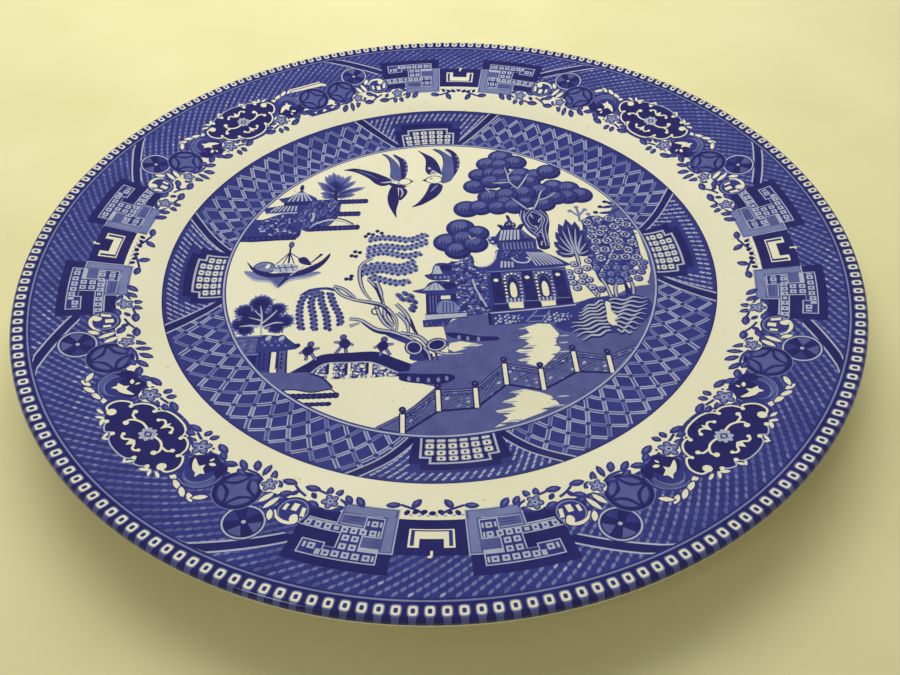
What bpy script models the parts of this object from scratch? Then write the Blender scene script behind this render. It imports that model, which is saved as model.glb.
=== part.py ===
"""A round earthenware dinner plate, as the layers that a potter puts together.

The plate stands on z = 0 with its turning axis on Z. A fired clay body with a foot ring carries three
printed transfers on its face: the rim border, the well border and the centre scene. A clear glaze coat
covers the face, the lip and the back down to the foot, and a second patch of glaze fills the foot well.
Every layer is turned about Z. Layers that lie on each other keep a thin gap.
"""
import math

import bmesh
import bpy

# Driving dimensions, in metres.
PLATE_RADIUS = 0.127
FLOOR_RADIUS = 0.071
FLOOR_HEIGHT = 0.0060
FLOOR_THICKNESS = 0.0046
LIP_THICKNESS = 0.0034
LIP_ROUNDING = 0.0014
FOOT_OUTER_RADIUS = 0.0745
FOOT_INNER_RADIUS = 0.0700
FOOT_CHAMFER = 0.0006

# Layers: clear glaze, printed transfer, and the gap kept between layers that touch.
GLAZE = 0.0003
TRANSFER = 0.00015
GAP = 0.0003
GLAZE_STOP_HEIGHT = 0.0006

# Rise of the face per unit of radius, at knots between which it changes evenly:
# flat floor, hollow start of the cavetto, steep stretch, rounded shoulder, straight rim.
FACE_SLOPES = ((FLOOR_RADIUS, 0.0), (0.084, 0.46), (0.090, 0.46), (0.100, 0.26), (PLATE_RADIUS, 0.26))

# Radial extent of each printed transfer.
SCENE_RADIUS = 0.0690
WELL_BORDER = (FLOOR_RADIUS, 0.0885)
RIM_BORDER = (0.0950, 0.1250)

SEGMENTS = 48
COVE_STEPS = 4
SHOULDER_STEPS = 4
LIP_STEPS = 6
BACK_STEPS = 7

CLAY_COLOUR = (0.80, 0.76, 0.66)
GLAZE_COLOUR = (0.83, 0.80, 0.68)
PRINT_COLOUR = (0.055, 0.060, 0.26)


def face_height(radius):
    """Height of the glazed face: the slope between the knots, summed up to this radius."""
    height = FLOOR_HEIGHT
    for (start, start_slope), (end, end_slope) in zip(FACE_SLOPES, FACE_SLOPES[1:]):
        run = min(radius, end) - start
        if run <= 0:
            break
        slope_here = start_slope + (end_slope - start_slope) * run / (end - start)
        height += run * (start_slope + slope_here) / 2
    return height


def wall_thickness(radius):
    """Glaze to glaze, thinning evenly from the floor to the lip."""
    share = (radius - FLOOR_RADIUS) / (PLATE_RADIUS - FLOOR_RADIUS)
    share = min(max(share, 0.0), 1.0)
    return FLOOR_THICKNESS + share * (LIP_THICKNESS - FLOOR_THICKNESS)


def back_height(radius):
    return face_height(radius) - wall_thickness(radius)


def spread(start, end, steps):
    return [start + (end - start) * step / steps for step in range(steps + 1)]


def face_radii():
    """Radii at which every layer of the face has an edge, so that the layers stay parallel."""
    cove_end, steep_end, shoulder_end = (knot[0] for knot in FACE_SLOPES[1:4])
    radii = [0.0, SCENE_RADIUS]
    radii += spread(FLOOR_RADIUS, cove_end, COVE_STEPS)
    radii += [WELL_BORDER[1]]
    radii += spread(steep_end, shoulder_end, SHOULDER_STEPS)
    radii += [RIM_BORDER[1], PLATE_RADIUS - LIP_ROUNDING]
    return radii


def face_line(inset, inner=0.0, outer=PLATE_RADIUS):
    """Points along the face from inner to outer radius, sunk by the inset."""
    tolerance = 1e-7
    kept = [r for r in face_radii() if inner - tolerance <= r <= outer + tolerance]
    return [(r, face_height(r) - inset) for r in kept]


def lip_line(face_inset, back_inset, edge_inset):
    """Half an ellipse round the lip, from the face to the back."""
    start = PLATE_RADIUS - LIP_ROUNDING
    top = face_height(start) - face_inset
    bottom = back_height(start) + back_inset
    middle = (top + bottom) / 2
    points = []
    for step in range(1, LIP_STEPS):
        angle = math.pi / 2 - math.pi * step / LIP_STEPS
        reach = (LIP_ROUNDING - edge_inset) * math.cos(angle)
        points.append((start + reach, middle + (top - middle) * math.sin(angle)))
    return points


def back_line(inset, inner):
    """Points along the back from the lip in to the inner radius, raised by the inset."""
    radii = spread(PLATE_RADIUS - LIP_ROUNDING, inner, BACK_STEPS)
    return [(r, back_height(r) + inset) for r in radii]


def clay_section():
    """Clay body: face, lip, back, foot ring with chamfered edges, and the roof of the foot well."""
    face_inset = GLAZE + GAP + TRANSFER + GAP
    back_inset = GLAZE + GAP
    points = face_line(face_inset)
    points += lip_line(face_inset, back_inset, back_inset)
    points += back_line(back_inset, FOOT_OUTER_RADIUS)
    points += [(FOOT_OUTER_RADIUS, FOOT_CHAMFER),
               (FOOT_OUTER_RADIUS - FOOT_CHAMFER, 0.0),
               (FOOT_INNER_RADIUS + FOOT_CHAMFER, 0.0),
               (FOOT_INNER_RADIUS, FOOT_CHAMFER)]
    roof = FLOOR_HEIGHT - FLOOR_THICKNESS + back_inset
    points += [(FOOT_INNER_RADIUS, roof), (0.0, roof)]
    return points


def glaze_section():
    """Glaze coat: over the face, round the lip, under the rim and down the outside of the foot."""
    skirt_outer = FOOT_OUTER_RADIUS + GAP + GLAZE
    skirt_inner = FOOT_OUTER_RADIUS + GAP
    outside = face_line(0.0) + lip_line(0.0, 0.0, 0.0) + back_line(0.0, skirt_outer)
    inside = face_line(GLAZE) + lip_line(GLAZE, GLAZE, GLAZE) + back_line(GLAZE, skirt_inner)
    skirt = [(skirt_outer, GLAZE_STOP_HEIGHT), (skirt_inner, GLAZE_STOP_HEIGHT)]
    return outside + skirt + inside[::-1]


def foot_well_section():
    """Glaze patch on the roof of the foot well, with a skirt down the inside of the foot ring."""
    surface = FLOOR_HEIGHT - FLOOR_THICKNESS
    outer = FOOT_INNER_RADIUS - GAP
    inner = outer - GLAZE
    return [(0.0, surface), (inner, surface), (inner, GLAZE_STOP_HEIGHT),
            (outer, GLAZE_STOP_HEIGHT), (outer, surface + GLAZE), (0.0, surface + GLAZE)]


def transfer_section(inner, outer):
    """One printed transfer: a thin layer between the clay and the glaze."""
    top = face_line(GLAZE + GAP, inner, outer)
    under = face_line(GLAZE + GAP + TRANSFER, inner, outer)
    return top + under[::-1]


def make_material(name, colour, roughness):
    material = bpy.data.materials.new(name)
    material.use_nodes = True
    shader = material.node_tree.nodes["Principled BSDF"]
    shader.inputs["Base Color"].default_value = (*colour, 1.0)
    shader.inputs["Roughness"].default_value = roughness
    shader.inputs["Metallic"].default_value = 0.0
    return material


def turn(name, section, material):
    """Turn a closed section, given as (radius, height) points, into a solid about Z."""
    shape = bmesh.new()
    corners = [shape.verts.new((radius, 0.0, height)) for radius, height in section]
    for corner, following in zip(corners, corners[1:]):
        shape.edges.new((corner, following))
    if section[0][0] > 0:
        shape.edges.new((corners[-1], corners[0]))
    bmesh.ops.spin(shape, geom=shape.verts[:] + shape.edges[:], cent=(0, 0, 0), axis=(0, 0, 1),
                   angle=2 * math.pi, steps=SEGMENTS, use_merge=True)
    bmesh.ops.remove_doubles(shape, verts=shape.verts[:], dist=1e-6)
    bmesh.ops.recalc_face_normals(shape, faces=shape.faces[:])
    mesh = bpy.data.meshes.new(name)
    shape.to_mesh(mesh)
    shape.free()
    mesh.shade_smooth()
    mesh.set_sharp_from_angle(angle=math.radians(30))
    mesh.materials.append(material)
    piece = bpy.data.objects.new(name, mesh)
    bpy.context.collection.objects.link(piece)
    return piece


def main():
    for leftover in list(bpy.data.objects):
        bpy.data.objects.remove(leftover, do_unlink=True)

    clay = make_material("clay", CLAY_COLOUR, 0.85)
    glaze = make_material("clear_glaze", GLAZE_COLOUR, 0.12)
    foot_glaze = make_material("foot_well_glaze", GLAZE_COLOUR, 0.16)
    rim_print = make_material("rim_border_print", PRINT_COLOUR, 0.35)
    well_print = make_material("well_border_print", PRINT_COLOUR, 0.35)
    scene_print = make_material("centre_scene_print", PRINT_COLOUR, 0.35)

    turn("clay_body", clay_section(), clay)
    turn("rim_border_transfer", transfer_section(*RIM_BORDER), rim_print)
    turn("well_border_transfer", transfer_section(*WELL_BORDER), well_print)
    turn("centre_scene_transfer", transfer_section(0.0, SCENE_RADIUS), scene_print)
    turn("glaze_coat", glaze_section(), glaze)
    turn("foot_well_glaze", foot_well_section(), foot_glaze)


main()
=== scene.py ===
"""Looks of a blue-printed earthenware dinner plate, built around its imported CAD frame.

The white glazed body is turned. The blue print is drawn in code as flat shapes in plate millimetres (x to the
right, y away from the viewer) and laid on the glazed face: every tone of blue is a sheet of its own.
"""

import math

import bpy
import numpy as np
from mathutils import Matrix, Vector
from mathutils.geometry import delaunay_2d_cdt


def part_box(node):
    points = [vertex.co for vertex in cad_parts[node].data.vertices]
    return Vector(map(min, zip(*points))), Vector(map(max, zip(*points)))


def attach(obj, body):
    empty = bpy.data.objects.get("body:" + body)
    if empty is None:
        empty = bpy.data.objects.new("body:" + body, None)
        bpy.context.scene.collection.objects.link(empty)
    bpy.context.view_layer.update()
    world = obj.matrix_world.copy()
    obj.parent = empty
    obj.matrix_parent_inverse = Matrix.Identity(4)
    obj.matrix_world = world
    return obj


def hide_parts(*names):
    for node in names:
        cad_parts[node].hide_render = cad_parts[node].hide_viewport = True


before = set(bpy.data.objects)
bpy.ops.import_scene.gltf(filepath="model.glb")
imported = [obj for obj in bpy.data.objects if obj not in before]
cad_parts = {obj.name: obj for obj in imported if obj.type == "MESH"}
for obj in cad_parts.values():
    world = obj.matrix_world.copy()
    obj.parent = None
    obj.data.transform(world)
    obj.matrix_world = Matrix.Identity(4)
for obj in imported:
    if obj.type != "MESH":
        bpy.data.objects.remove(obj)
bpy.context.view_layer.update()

# ---- Section of the plate, in millimetres, the same as the CAD's ----
MM = 0.001
PLATE_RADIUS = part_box("glaze_coat")[1].x / MM
FLOOR_RADIUS = 71.0
FLOOR_HEIGHT = 6.0
FLOOR_THICKNESS = 4.6
LIP_THICKNESS = 3.4
GLAZE = 0.3
TRANSFER = 0.15
GAP = 0.3
FOOT_OUTER_RADIUS = 74.5
FOOT_INNER_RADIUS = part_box("foot_well_glaze")[1].x / MM + GAP
FOOT_CHAMFER = 0.6
GLAZE_STOP_HEIGHT = 0.6

# Slope of the face at radii between which it changes evenly: floor, cavetto, shoulder, straight rim.
SLOPE_RADII = (FLOOR_RADIUS, 84.0, 90.0, 100.0, PLATE_RADIUS)
SLOPES = (0.0, 0.46, 0.46, 0.26, 0.26)

# The glaze lies a hair under the CAD's surface, and the print on it stays under that surface too.
GLAZE_DEPTH = 0.030
PRINT_DEPTH = 0.008

# The lip is the end of a sloping slab, closed by half an ellipse.
LIP_TILT = math.atan(SLOPES[-1])
LIP_REACH = 1.5
LIP_HALF = LIP_THICKNESS * math.cos(LIP_TILT) / 2
LIP_SPREAD = math.hypot(LIP_REACH * math.cos(LIP_TILT), LIP_HALF * math.sin(LIP_TILT))
LIP_TURN = math.atan2(LIP_HALF * math.sin(LIP_TILT), LIP_REACH * math.cos(LIP_TILT))
LIP_START = PLATE_RADIUS - LIP_SPREAD - LIP_HALF * math.sin(LIP_TILT)

GLAZE_SEGMENTS = 540
HIDDEN_SEGMENTS = 360


# ---- Turned surfaces ----
def face_height(radius):
    """Height of the face at these radii: its slope, summed up from the flat floor."""
    height = FLOOR_HEIGHT + 0.0 * radius
    knots = list(zip(SLOPE_RADII, SLOPES))
    for (start, slope), (end, end_slope) in zip(knots, knots[1:]):
        run = np.clip(radius, start, end) - start
        height = height + run * (slope + 0.5 * (end_slope - slope) * run / (end - start))
    return height


def wall_thickness(radius):
    share = np.clip((radius - FLOOR_RADIUS) / (PLATE_RADIUS - FLOOR_RADIUS), 0.0, 1.0)
    return FLOOR_THICKNESS + share * (LIP_THICKNESS - FLOOR_THICKNESS)


def lip_point(angle):
    """Place (radius, height) and normal on the lip, from 90 degrees on the face to -90 on the back."""
    along, out = np.cos(angle), np.sin(angle)
    tilt_cos, tilt_sin = math.cos(LIP_TILT), math.sin(LIP_TILT)
    middle_radius = LIP_START + LIP_HALF * tilt_sin
    middle_height = face_height(LIP_START) - LIP_HALF * tilt_cos
    radius = middle_radius + LIP_REACH * along * tilt_cos - LIP_HALF * out * tilt_sin
    height = middle_height + LIP_REACH * along * tilt_sin + LIP_HALF * out * tilt_cos
    normal_radius = along / LIP_REACH * tilt_cos - out / LIP_HALF * tilt_sin
    normal_height = along / LIP_REACH * tilt_sin + out / LIP_HALF * tilt_cos
    length = np.hypot(normal_radius, normal_height)
    return radius, height, normal_radius / length, normal_height / length


def face_point(radius, depth):
    """Place (radius, height) and normal on the face or the upper lip, sunk below the CAD's surface."""
    slope = np.interp(radius, SLOPE_RADII, SLOPES)
    length = np.hypot(1.0, slope)
    height = face_height(radius)
    reach = np.clip((radius - (PLATE_RADIUS - LIP_SPREAD)) / LIP_SPREAD, -1.0, 1.0)
    lip_radius, lip_height, lip_nr, lip_nh = lip_point(np.arccos(reach) - LIP_TURN)
    on_lip = radius > LIP_START
    normal_radius = np.where(on_lip, lip_nr, -slope / length)
    normal_height = np.where(on_lip, lip_nh, 1.0 / length)
    radius = np.where(on_lip, lip_radius, radius)
    height = np.where(on_lip, lip_height, height)
    return radius - depth * normal_radius, height - depth * normal_height, normal_radius, normal_height


def spread(start, end, step):
    """Evenly spaced values from start to end, about a step apart."""
    return np.linspace(start, end, max(2, round(abs(end - start) / step) + 1))


def outside_line(depth, inner, fineness=1.0):
    """Section points from inner radius on the face, round the lip, to inner on the back, sunk by depth."""
    radii = np.concatenate([spread(inner, FLOOR_RADIUS, 8.0 * fineness),
                            spread(FLOOR_RADIUS, 100, fineness)[1:],
                            spread(100, LIP_START, 3.0 * fineness)[1:]])
    face = np.stack(face_point(radii, depth)[:2], 1)
    angles = np.radians(spread(90, -90, 5.0 * fineness))[1:-1]
    radius, height, normal_radius, normal_height = lip_point(angles)
    lip = np.stack([radius - depth * normal_radius, height - depth * normal_height], 1)
    back_radii = np.concatenate([spread(LIP_START + 2 * LIP_HALF * math.sin(LIP_TILT), 100, 3.0 * fineness),
                                 spread(100, FOOT_OUTER_RADIUS + GAP + GLAZE - depth, fineness)[1:]])
    back_height = face_height(back_radii) - wall_thickness(back_radii) + depth
    return np.concatenate([face, lip, np.stack([back_radii, back_height], 1)])


def glaze_section():
    """Glaze coat: the face, the lip, the back and the outside of the foot, as a thin closed coat."""
    inner_wall = FOOT_OUTER_RADIUS + GAP
    outside = outside_line(GLAZE_DEPTH, 0.0)
    skirt_radius = outside[-1][0]
    skirt = [(skirt_radius, 1.0), (skirt_radius - 0.06, GLAZE_STOP_HEIGHT + 0.12),
             (skirt_radius - 0.2, GLAZE_STOP_HEIGHT), (inner_wall, GLAZE_STOP_HEIGHT)]
    inside = outside_line(GLAZE, 0.0, 3.0)[::-1]
    inside[0][0] = inner_wall
    return np.concatenate([outside, skirt, inside])


def clay_section():
    """Fired clay under the glaze, with the foot ring whose standing face stays bare."""
    outside = outside_line(GLAZE + GAP + TRANSFER + GAP, 0.0, 3.0)
    back_depth = GLAZE + GAP
    roof = FLOOR_HEIGHT - FLOOR_THICKNESS + back_depth
    foot = [(FOOT_OUTER_RADIUS, roof), (FOOT_OUTER_RADIUS, FOOT_CHAMFER)]
    middle = (FOOT_OUTER_RADIUS - FOOT_CHAMFER, FOOT_INNER_RADIUS + FOOT_CHAMFER)
    for step in range(1, 7):
        angle = math.radians(90 * step / 6)
        foot.append((middle[0] + FOOT_CHAMFER * math.cos(angle), FOOT_CHAMFER * (1 - math.sin(angle))))
    for step in range(7):
        angle = math.radians(90 + 90 * step / 6)
        foot.append((middle[1] + FOOT_CHAMFER * math.cos(angle), FOOT_CHAMFER * (1 - math.sin(angle))))
    return np.concatenate([outside, foot, [(FOOT_INNER_RADIUS, roof), (0.0, roof)]])


def foot_well_section():
    """Glaze on the roof of the foot well and down the inside of the foot ring, rounded in the corner."""
    surface = FLOOR_HEIGHT - FLOOR_THICKNESS
    outer = FOOT_INNER_RADIUS - GAP
    inner = outer - GLAZE
    return [(0.0, surface), (inner - 0.5, surface), (inner - 0.15, surface - 0.08), (inner, surface - 0.35),
            (inner, GLAZE_STOP_HEIGHT + 0.1), (inner + 0.1, GLAZE_STOP_HEIGHT), (outer, GLAZE_STOP_HEIGHT),
            (outer, surface + GLAZE), (0.0, surface + GLAZE)]


def turned(name, section, segments):
    """A closed section (radius, height) in millimetres, turned about Z into a solid."""
    section = np.asarray(section, float)
    on_axis = section[:, 0] < 1e-9
    angles = np.arange(segments) * 2 * math.pi / segments
    first = np.cumsum(np.where(on_axis, 1, segments)) - np.where(on_axis, 1, segments)
    points = []
    for (radius, height), single in zip(section, on_axis):
        turns = angles[:1] if single else angles
        points.append(np.stack([radius * np.cos(turns), radius * np.sin(turns), height + 0 * turns], 1))
    step = np.arange(segments)
    following = (step + 1) % segments
    faces = []
    count = len(section)
    for i in range(count if not on_axis[0] else count - 1):
        j = (i + 1) % count
        a, b = first[i], first[j]
        if on_axis[i] and on_axis[j]:
            continue
        if on_axis[i]:
            faces += np.stack([a + 0 * step, b + step, b + following], 1).tolist()
        elif on_axis[j]:
            faces += np.stack([a + step, b + 0 * step, a + following], 1).tolist()
        else:
            faces += np.stack([a + step, b + step, b + following, a + following], 1).tolist()
    mesh = bpy.data.meshes.new(name)
    mesh.from_pydata((np.concatenate(points) * MM).tolist(), [], faces)
    mesh.shade_smooth()
    mesh.set_sharp_from_angle(angle=math.radians(40))
    piece = bpy.data.objects.new(name, mesh)
    bpy.context.scene.collection.objects.link(piece)
    return piece


# ---- Flat drawing, in millimetres ----
DEEP, BLUE, MID, SOFT, PALE, WHITE = "deep", "blue", "mid", "soft", "pale", "white"
RIM_SCALE_RADIUS = 110.0
WELL_SCALE_RADIUS = 80.0


def box(left, bottom, right, top):
    return [(left, bottom), (right, bottom), (right, top), (left, top)]


def turned_point(x, y, along, out, turn):
    """The point this far along and out from x, y, in axes turned by this many degrees."""
    cos, sin = math.cos(math.radians(turn)), math.sin(math.radians(turn))
    return (x + along * cos - out * sin, y + along * sin + out * cos)


def oval(x, y, across, tall=None, turn=0.0, steps=16):
    """An ellipse of these half sizes, turned by this many degrees."""
    tall = across if tall is None else tall
    angles = [2 * math.pi * step / steps for step in range(steps)]
    return [turned_point(x, y, across * math.cos(a), tall * math.sin(a), turn) for a in angles]


def arc(x, y, radius, start, end, steps=8):
    angles = [math.radians(start + (end - start) * step / steps) for step in range(steps + 1)]
    return [(x + radius * math.cos(a), y + radius * math.sin(a)) for a in angles]


def ring(radius, steps=360):
    return arc(0, 0, radius, 0, 360 - 360 / steps, steps - 1)


def curve(points, closed=False, steps=4):
    """A smooth line through all the points."""
    count = len(points)
    if count < 3:
        return list(points)
    line = []
    for i in range(count if closed else count - 1):
        near = [i + k if not closed else (i + k) % count for k in (-1, 0, 1, 2)]
        p, q, r, s = (points[min(max(k, 0), count - 1)] for k in near)
        for step in range(steps):
            t = step / steps
            weights = (-t + 2 * t * t - t ** 3, 2 - 5 * t * t + 3 * t ** 3,
                       t + 4 * t * t - 3 * t ** 3, t ** 3 - t * t)
            line.append(tuple(sum(w * c[k] for w, c in zip(weights, (p, q, r, s))) / 2 for k in (0, 1)))
    if not closed:
        line.append(tuple(points[-1]))
    return line


def stroke(points, width, ends=None, smooth=True, shift=0.0):
    """A line drawn with a width; ends gives the share of the width left at its two ends."""
    line = curve(points) if smooth else points
    start, end = ends if ends else (1.0, 1.0)
    last = len(line) - 1
    left, right = [], []
    for i, (x, y) in enumerate(line):
        ax, ay = line[max(i - 1, 0)]
        bx, by = line[min(i + 1, last)]
        length = math.hypot(bx - ax, by - ay) or 1.0
        nx, ny = (ay - by) / length, (bx - ax) / length
        t = i / last
        share = min(1.0, start + (1 - start) * 2.5 * t, end + (1 - end) * 2.5 * (1 - t))
        half = width * share / 2
        left.append((x + nx * (shift + half), y + ny * (shift + half)))
        right.append((x + nx * (shift - half), y + ny * (shift - half)))
    return left + right[::-1]


def widened(line, half):
    """A bar with level ends: the line, moved half its width to both sides along the first axis."""
    return [(x + half, y) for x, y in line] + [(x - half, y) for x, y in line[::-1]]


def grown(outline, distance):
    """A closed outline moved outwards by this distance, or inwards where it is negative."""
    around = list(zip(outline[-1:] + outline[:-1], outline, outline[1:] + outline[:1]))
    turning = sum(ax * by - bx * ay for (ax, ay), (bx, by), _ in around)
    points = []
    for (ax, ay), (x, y), (bx, by) in around:
        length = math.copysign(math.hypot(bx - ax, by - ay) or 1.0, turning)
        points.append((x + distance * (by - ay) / length, y - distance * (bx - ax) / length))
    return points


LEAF_OUTLINE = ((-0.5, 0), (-0.3, 0.34), (0, 0.5), (0.3, 0.36), (0.5, 0), (0.3, -0.36), (0, -0.5),
                (-0.3, -0.34))


def leaf(x, y, length, width, turn):
    """A pointed leaf, centred on x, y."""
    return [turned_point(x, y, along * length, out * width, turn) for along, out in LEAF_OUTLINE]


def blade(start, end, width):
    """A pointed leaf from one point to another."""
    turn = math.degrees(math.atan2(end[1] - start[1], end[0] - start[0]))
    return leaf((start[0] + end[0]) / 2, (start[1] + end[1]) / 2, math.dist(start, end), width, turn)


class Sheet:
    """Inked shapes in the order they are laid down; a later shape covers an earlier one.

    A sheet's place turns a motif's own coordinates into millimetres on the plate, and long edges are cut
    finer first, so that they follow the rim's curve.
    """

    def __init__(self):
        self.shapes = []
        self.place = None
        self.longest = 2.5

    def ink(self, tone, *outlines):
        for outline in outlines:
            self.shapes.append((tone, self.placed(outline)))

    def placed(self, outline):
        if self.place is None:
            return [tuple(point) for point in outline]
        points = []
        for (ax, ay), (bx, by) in zip(outline, outline[1:] + outline[:1]):
            pieces = max(1, math.ceil(math.hypot(bx - ax, by - ay) / self.longest))
            for k in range(pieces):
                points.append(self.place(ax + (bx - ax) * k / pieces, ay + (by - ay) * k / pieces))
        return points

    def line(self, tone, points, width, **options):
        self.ink(tone, stroke(points, width, **options))

    def lines(self, tone, group, width, **options):
        for points in group:
            self.line(tone, points, width, **options)

    def discs(self, x, y, steps, *layers):
        """Round layers on one middle: tone, half width and, where it differs, half height."""
        for tone, across, *tall in layers:
            self.ink(tone, oval(x, y, across, *tall, steps=steps))

    def edged(self, tone, edge, points, width, rim=0.3, **options):
        """A stroke with a line of another tone along both sides."""
        self.line(edge, points, width + 2 * rim, **options)
        self.line(tone, points, width, **options)

    def blob(self, tone, *outlines):
        """Closed shapes with rounded outlines through the given points."""
        for outline in outlines:
            self.ink(tone, curve(outline, True, 3))

    def lined(self, tone, edge, outline, width=0.4):
        """A closed rounded shape with a line of another tone along its edge."""
        closed = curve(outline, True, 3)
        self.ink(edge, grown(closed, width / 2))
        self.ink(tone, grown(closed, -width / 2))

    def dots(self, tone, places, across, tall=None, turn=0.0):
        for x, y in places:
            self.ink(tone, oval(x, y, across, tall, turn, 8))


def along(points, pitch):
    """Places every pitch along a line, with the line's direction there in degrees."""
    line = curve(points)
    places, left = [], pitch / 2
    for (ax, ay), (bx, by) in zip(line, line[1:]):
        length = math.hypot(bx - ax, by - ay)
        turn = math.degrees(math.atan2(by - ay, bx - ax))
        while left <= length:
            t = left / length
            places.append((ax + (bx - ax) * t, ay + (by - ay) * t, turn))
            left += pitch
        left -= length
    return places


def at(line, share):
    """The point at this share of a straight-edged line's length."""
    lengths = [math.dist(a, b) for a, b in zip(line, line[1:])]
    left = share * sum(lengths)
    for (a, b), length in zip(zip(line, line[1:]), lengths):
        if left <= length or b is line[-1]:
            t = min(left / length, 1.0)
            return (a[0] + (b[0] - a[0]) * t, a[1] + (b[1] - a[1]) * t)
        left -= length


def ribs(sheet, tone, upper, lower, count, width):
    """Evenly spread strokes from one line to another, such as a roof's tiles."""
    for k in range(count):
        share = (k + 0.5) / count
        sheet.line(tone, [at(upper, share), at(lower, share)], width, smooth=False)


def inside(points, outline):
    """Which of the points lie inside the outline."""
    crossings = np.zeros(len(points), int)
    for (ax, ay), (bx, by) in zip(outline, np.roll(outline, -1, 0)):
        if ay == by:
            continue
        spans = (points[:, 1] < ay) != (points[:, 1] < by)
        crossings += spans & (points[:, 0] < ax + (points[:, 1] - ay) * (bx - ax) / (by - ay))
    return crossings % 2 == 1


def scatter(k):
    """A fixed, uneven value from -1 to 1 for every whole number k."""
    return math.sin(78.233 * k + 0.37 * k * k)


def flecks(sheet, outline, pitch, length, width, tones, turn=None):
    """Small leaves in alternating tones all over the inside of an outline, each turned its own way."""
    xs, ys = zip(*outline)
    places, row = [], 0
    while min(ys) + row * pitch < max(ys):
        x = min(xs) + 0.5 * pitch * (row % 2)
        while x < max(xs):
            k = len(places)
            places.append((x + 0.3 * pitch * scatter(k), min(ys) + (row + 0.3 * scatter(k + 0.5)) * pitch))
            x += pitch
        row += 1
    for k, (place, within) in enumerate(zip(places, inside(np.array(places), np.array(outline)))):
        if within:
            way = 180 * scatter(3 * k + 1) if turn is None else turn + 14 * scatter(k)
            size = 1 + 0.25 * scatter(7 * k)
            sheet.ink(tones[(k + round(scatter(k))) % len(tones)], leaf(*place, length * size, width, way))


# ---- Rim border: u runs along the rim from the middle of a key fret, in millimetres at r = 110 ----
RIM_INNER_EDGE = 92.0
RIM_OUTER_EDGE = PLATE_RADIUS - 0.02
GROUND_INNER_EDGE = 100.6
GROUND_OUTER_EDGE = 121.4
DASHES_PER_TURN = 228
DASH_ROW_PITCH = 1.22
DASH_SLOPE = 0.62
EDGE_LINES = ((SOFT, 122.4), (DEEP, 121.95), (BLUE, 121.6))
EDGE_CELLS = 225
EDGE_CELL_RADIUS = 124.5
EDGE_CELL_SQUARENESS = 0.55

# Angles round the plate, in degrees, of the middles of the key frets and of the medallions after them.
FRETS = (83.2, 178.8, 267.1, 352.9)
MEDALLIONS = (134.4, 224.1, 309.5, 37.7)

# A motif drawing reaches from a fret's middle to a medallion's. A long one has a second coin at its split.
HALF_LENGTH = 81.0
PINWHEEL = (42.5, 111.6)
COIN = (49.7, 104.6)
SPLIT = 56.4
SECOND_COIN = (61.8, 104.6)
SECOND_COIN_ROOM = 11.4
SECOND_COIN_LEAVES = ((58.0, 30), (62.5, -20), (66.0, 20))

# The transfer sits a little small and off the plate's middle, but never runs into the edge band.
RIM_DRIFT = -0.72
RIM_DRIFT_X = 0.62
RIM_DRIFT_Y = -0.42
MOTIF_LIMIT = 121.5


def polar(radius, turn):
    return (radius * math.cos(turn), radius * math.sin(turn))


def dash(radius, turn, reach, thick):
    """A slanting dash with pointed ends, centred at this radius and turn."""
    return [polar(radius - DASH_SLOPE * u + thick * side, turn + u / radius)
            for u, side in ((-reach, 0), (-0.6 * reach, -1), (0.6 * reach, -1),
                            (reach, 0), (0.6 * reach, 1), (-0.6 * reach, 1))]


def dashed_ground(sheet):
    """Short soft dashes in slanting rows, brighter in slow waves where the print has worn."""
    for row in range(round((GROUND_OUTER_EDGE - GROUND_INNER_EDGE) / DASH_ROW_PITCH)):
        radius = GROUND_INNER_EDGE + (row + 0.5) * DASH_ROW_PITCH
        for k in range(DASHES_PER_TURN):
            turn = 2 * math.pi * (k + 0.5 * (row % 2)) / DASHES_PER_TURN
            slow, quick = math.sin(5 * turn + 0.2 * row), math.sin(17 * turn - 0.5 * row)
            worn = slow + 0.7 * quick + 0.8 * scatter(k + 7 * row)
            sheet.ink(MID, dash(radius, turn, 0.82, 0.54 + 0.03 * worn))
            if worn > -0.5:
                sheet.ink(PALE if worn > 1.8 else SOFT, dash(radius, turn, 0.6, 0.27))


def edge_band(sheet):
    """Dark band of white cells round the plate's edge, with a thin pale line inside it."""
    sheet.ink(DEEP, ring(RIM_OUTER_EDGE, 720))
    for tone, radius in EDGE_LINES:
        sheet.ink(tone, ring(radius))
    middle = EDGE_CELL_RADIUS
    for k in range(EDGE_CELLS):
        turn = 2 * math.pi * k / EDGE_CELLS
        sheet.ink(MID, [polar(radius, turn + across / middle) for across, radius in
                        ((-0.9, 125.4), (0.9, 125.4), (0.7, RIM_OUTER_EDGE), (-0.7, RIM_OUTER_EDGE))])
        for tone, across, tall in ((SOFT, 1.24, 1.40), (WHITE, 0.98, 1.14), (BLUE, 0.46, 0.58)):
            cell_outline = []
            for a, b in oval(0, 0, 1, steps=16):
                u, r = (math.copysign(abs(c) ** EDGE_CELL_SQUARENESS, c) for c in (a, b))
                cell_outline.append(polar(middle + r * tall, turn + u * across / middle))
            sheet.ink(tone, cell_outline)


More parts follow.
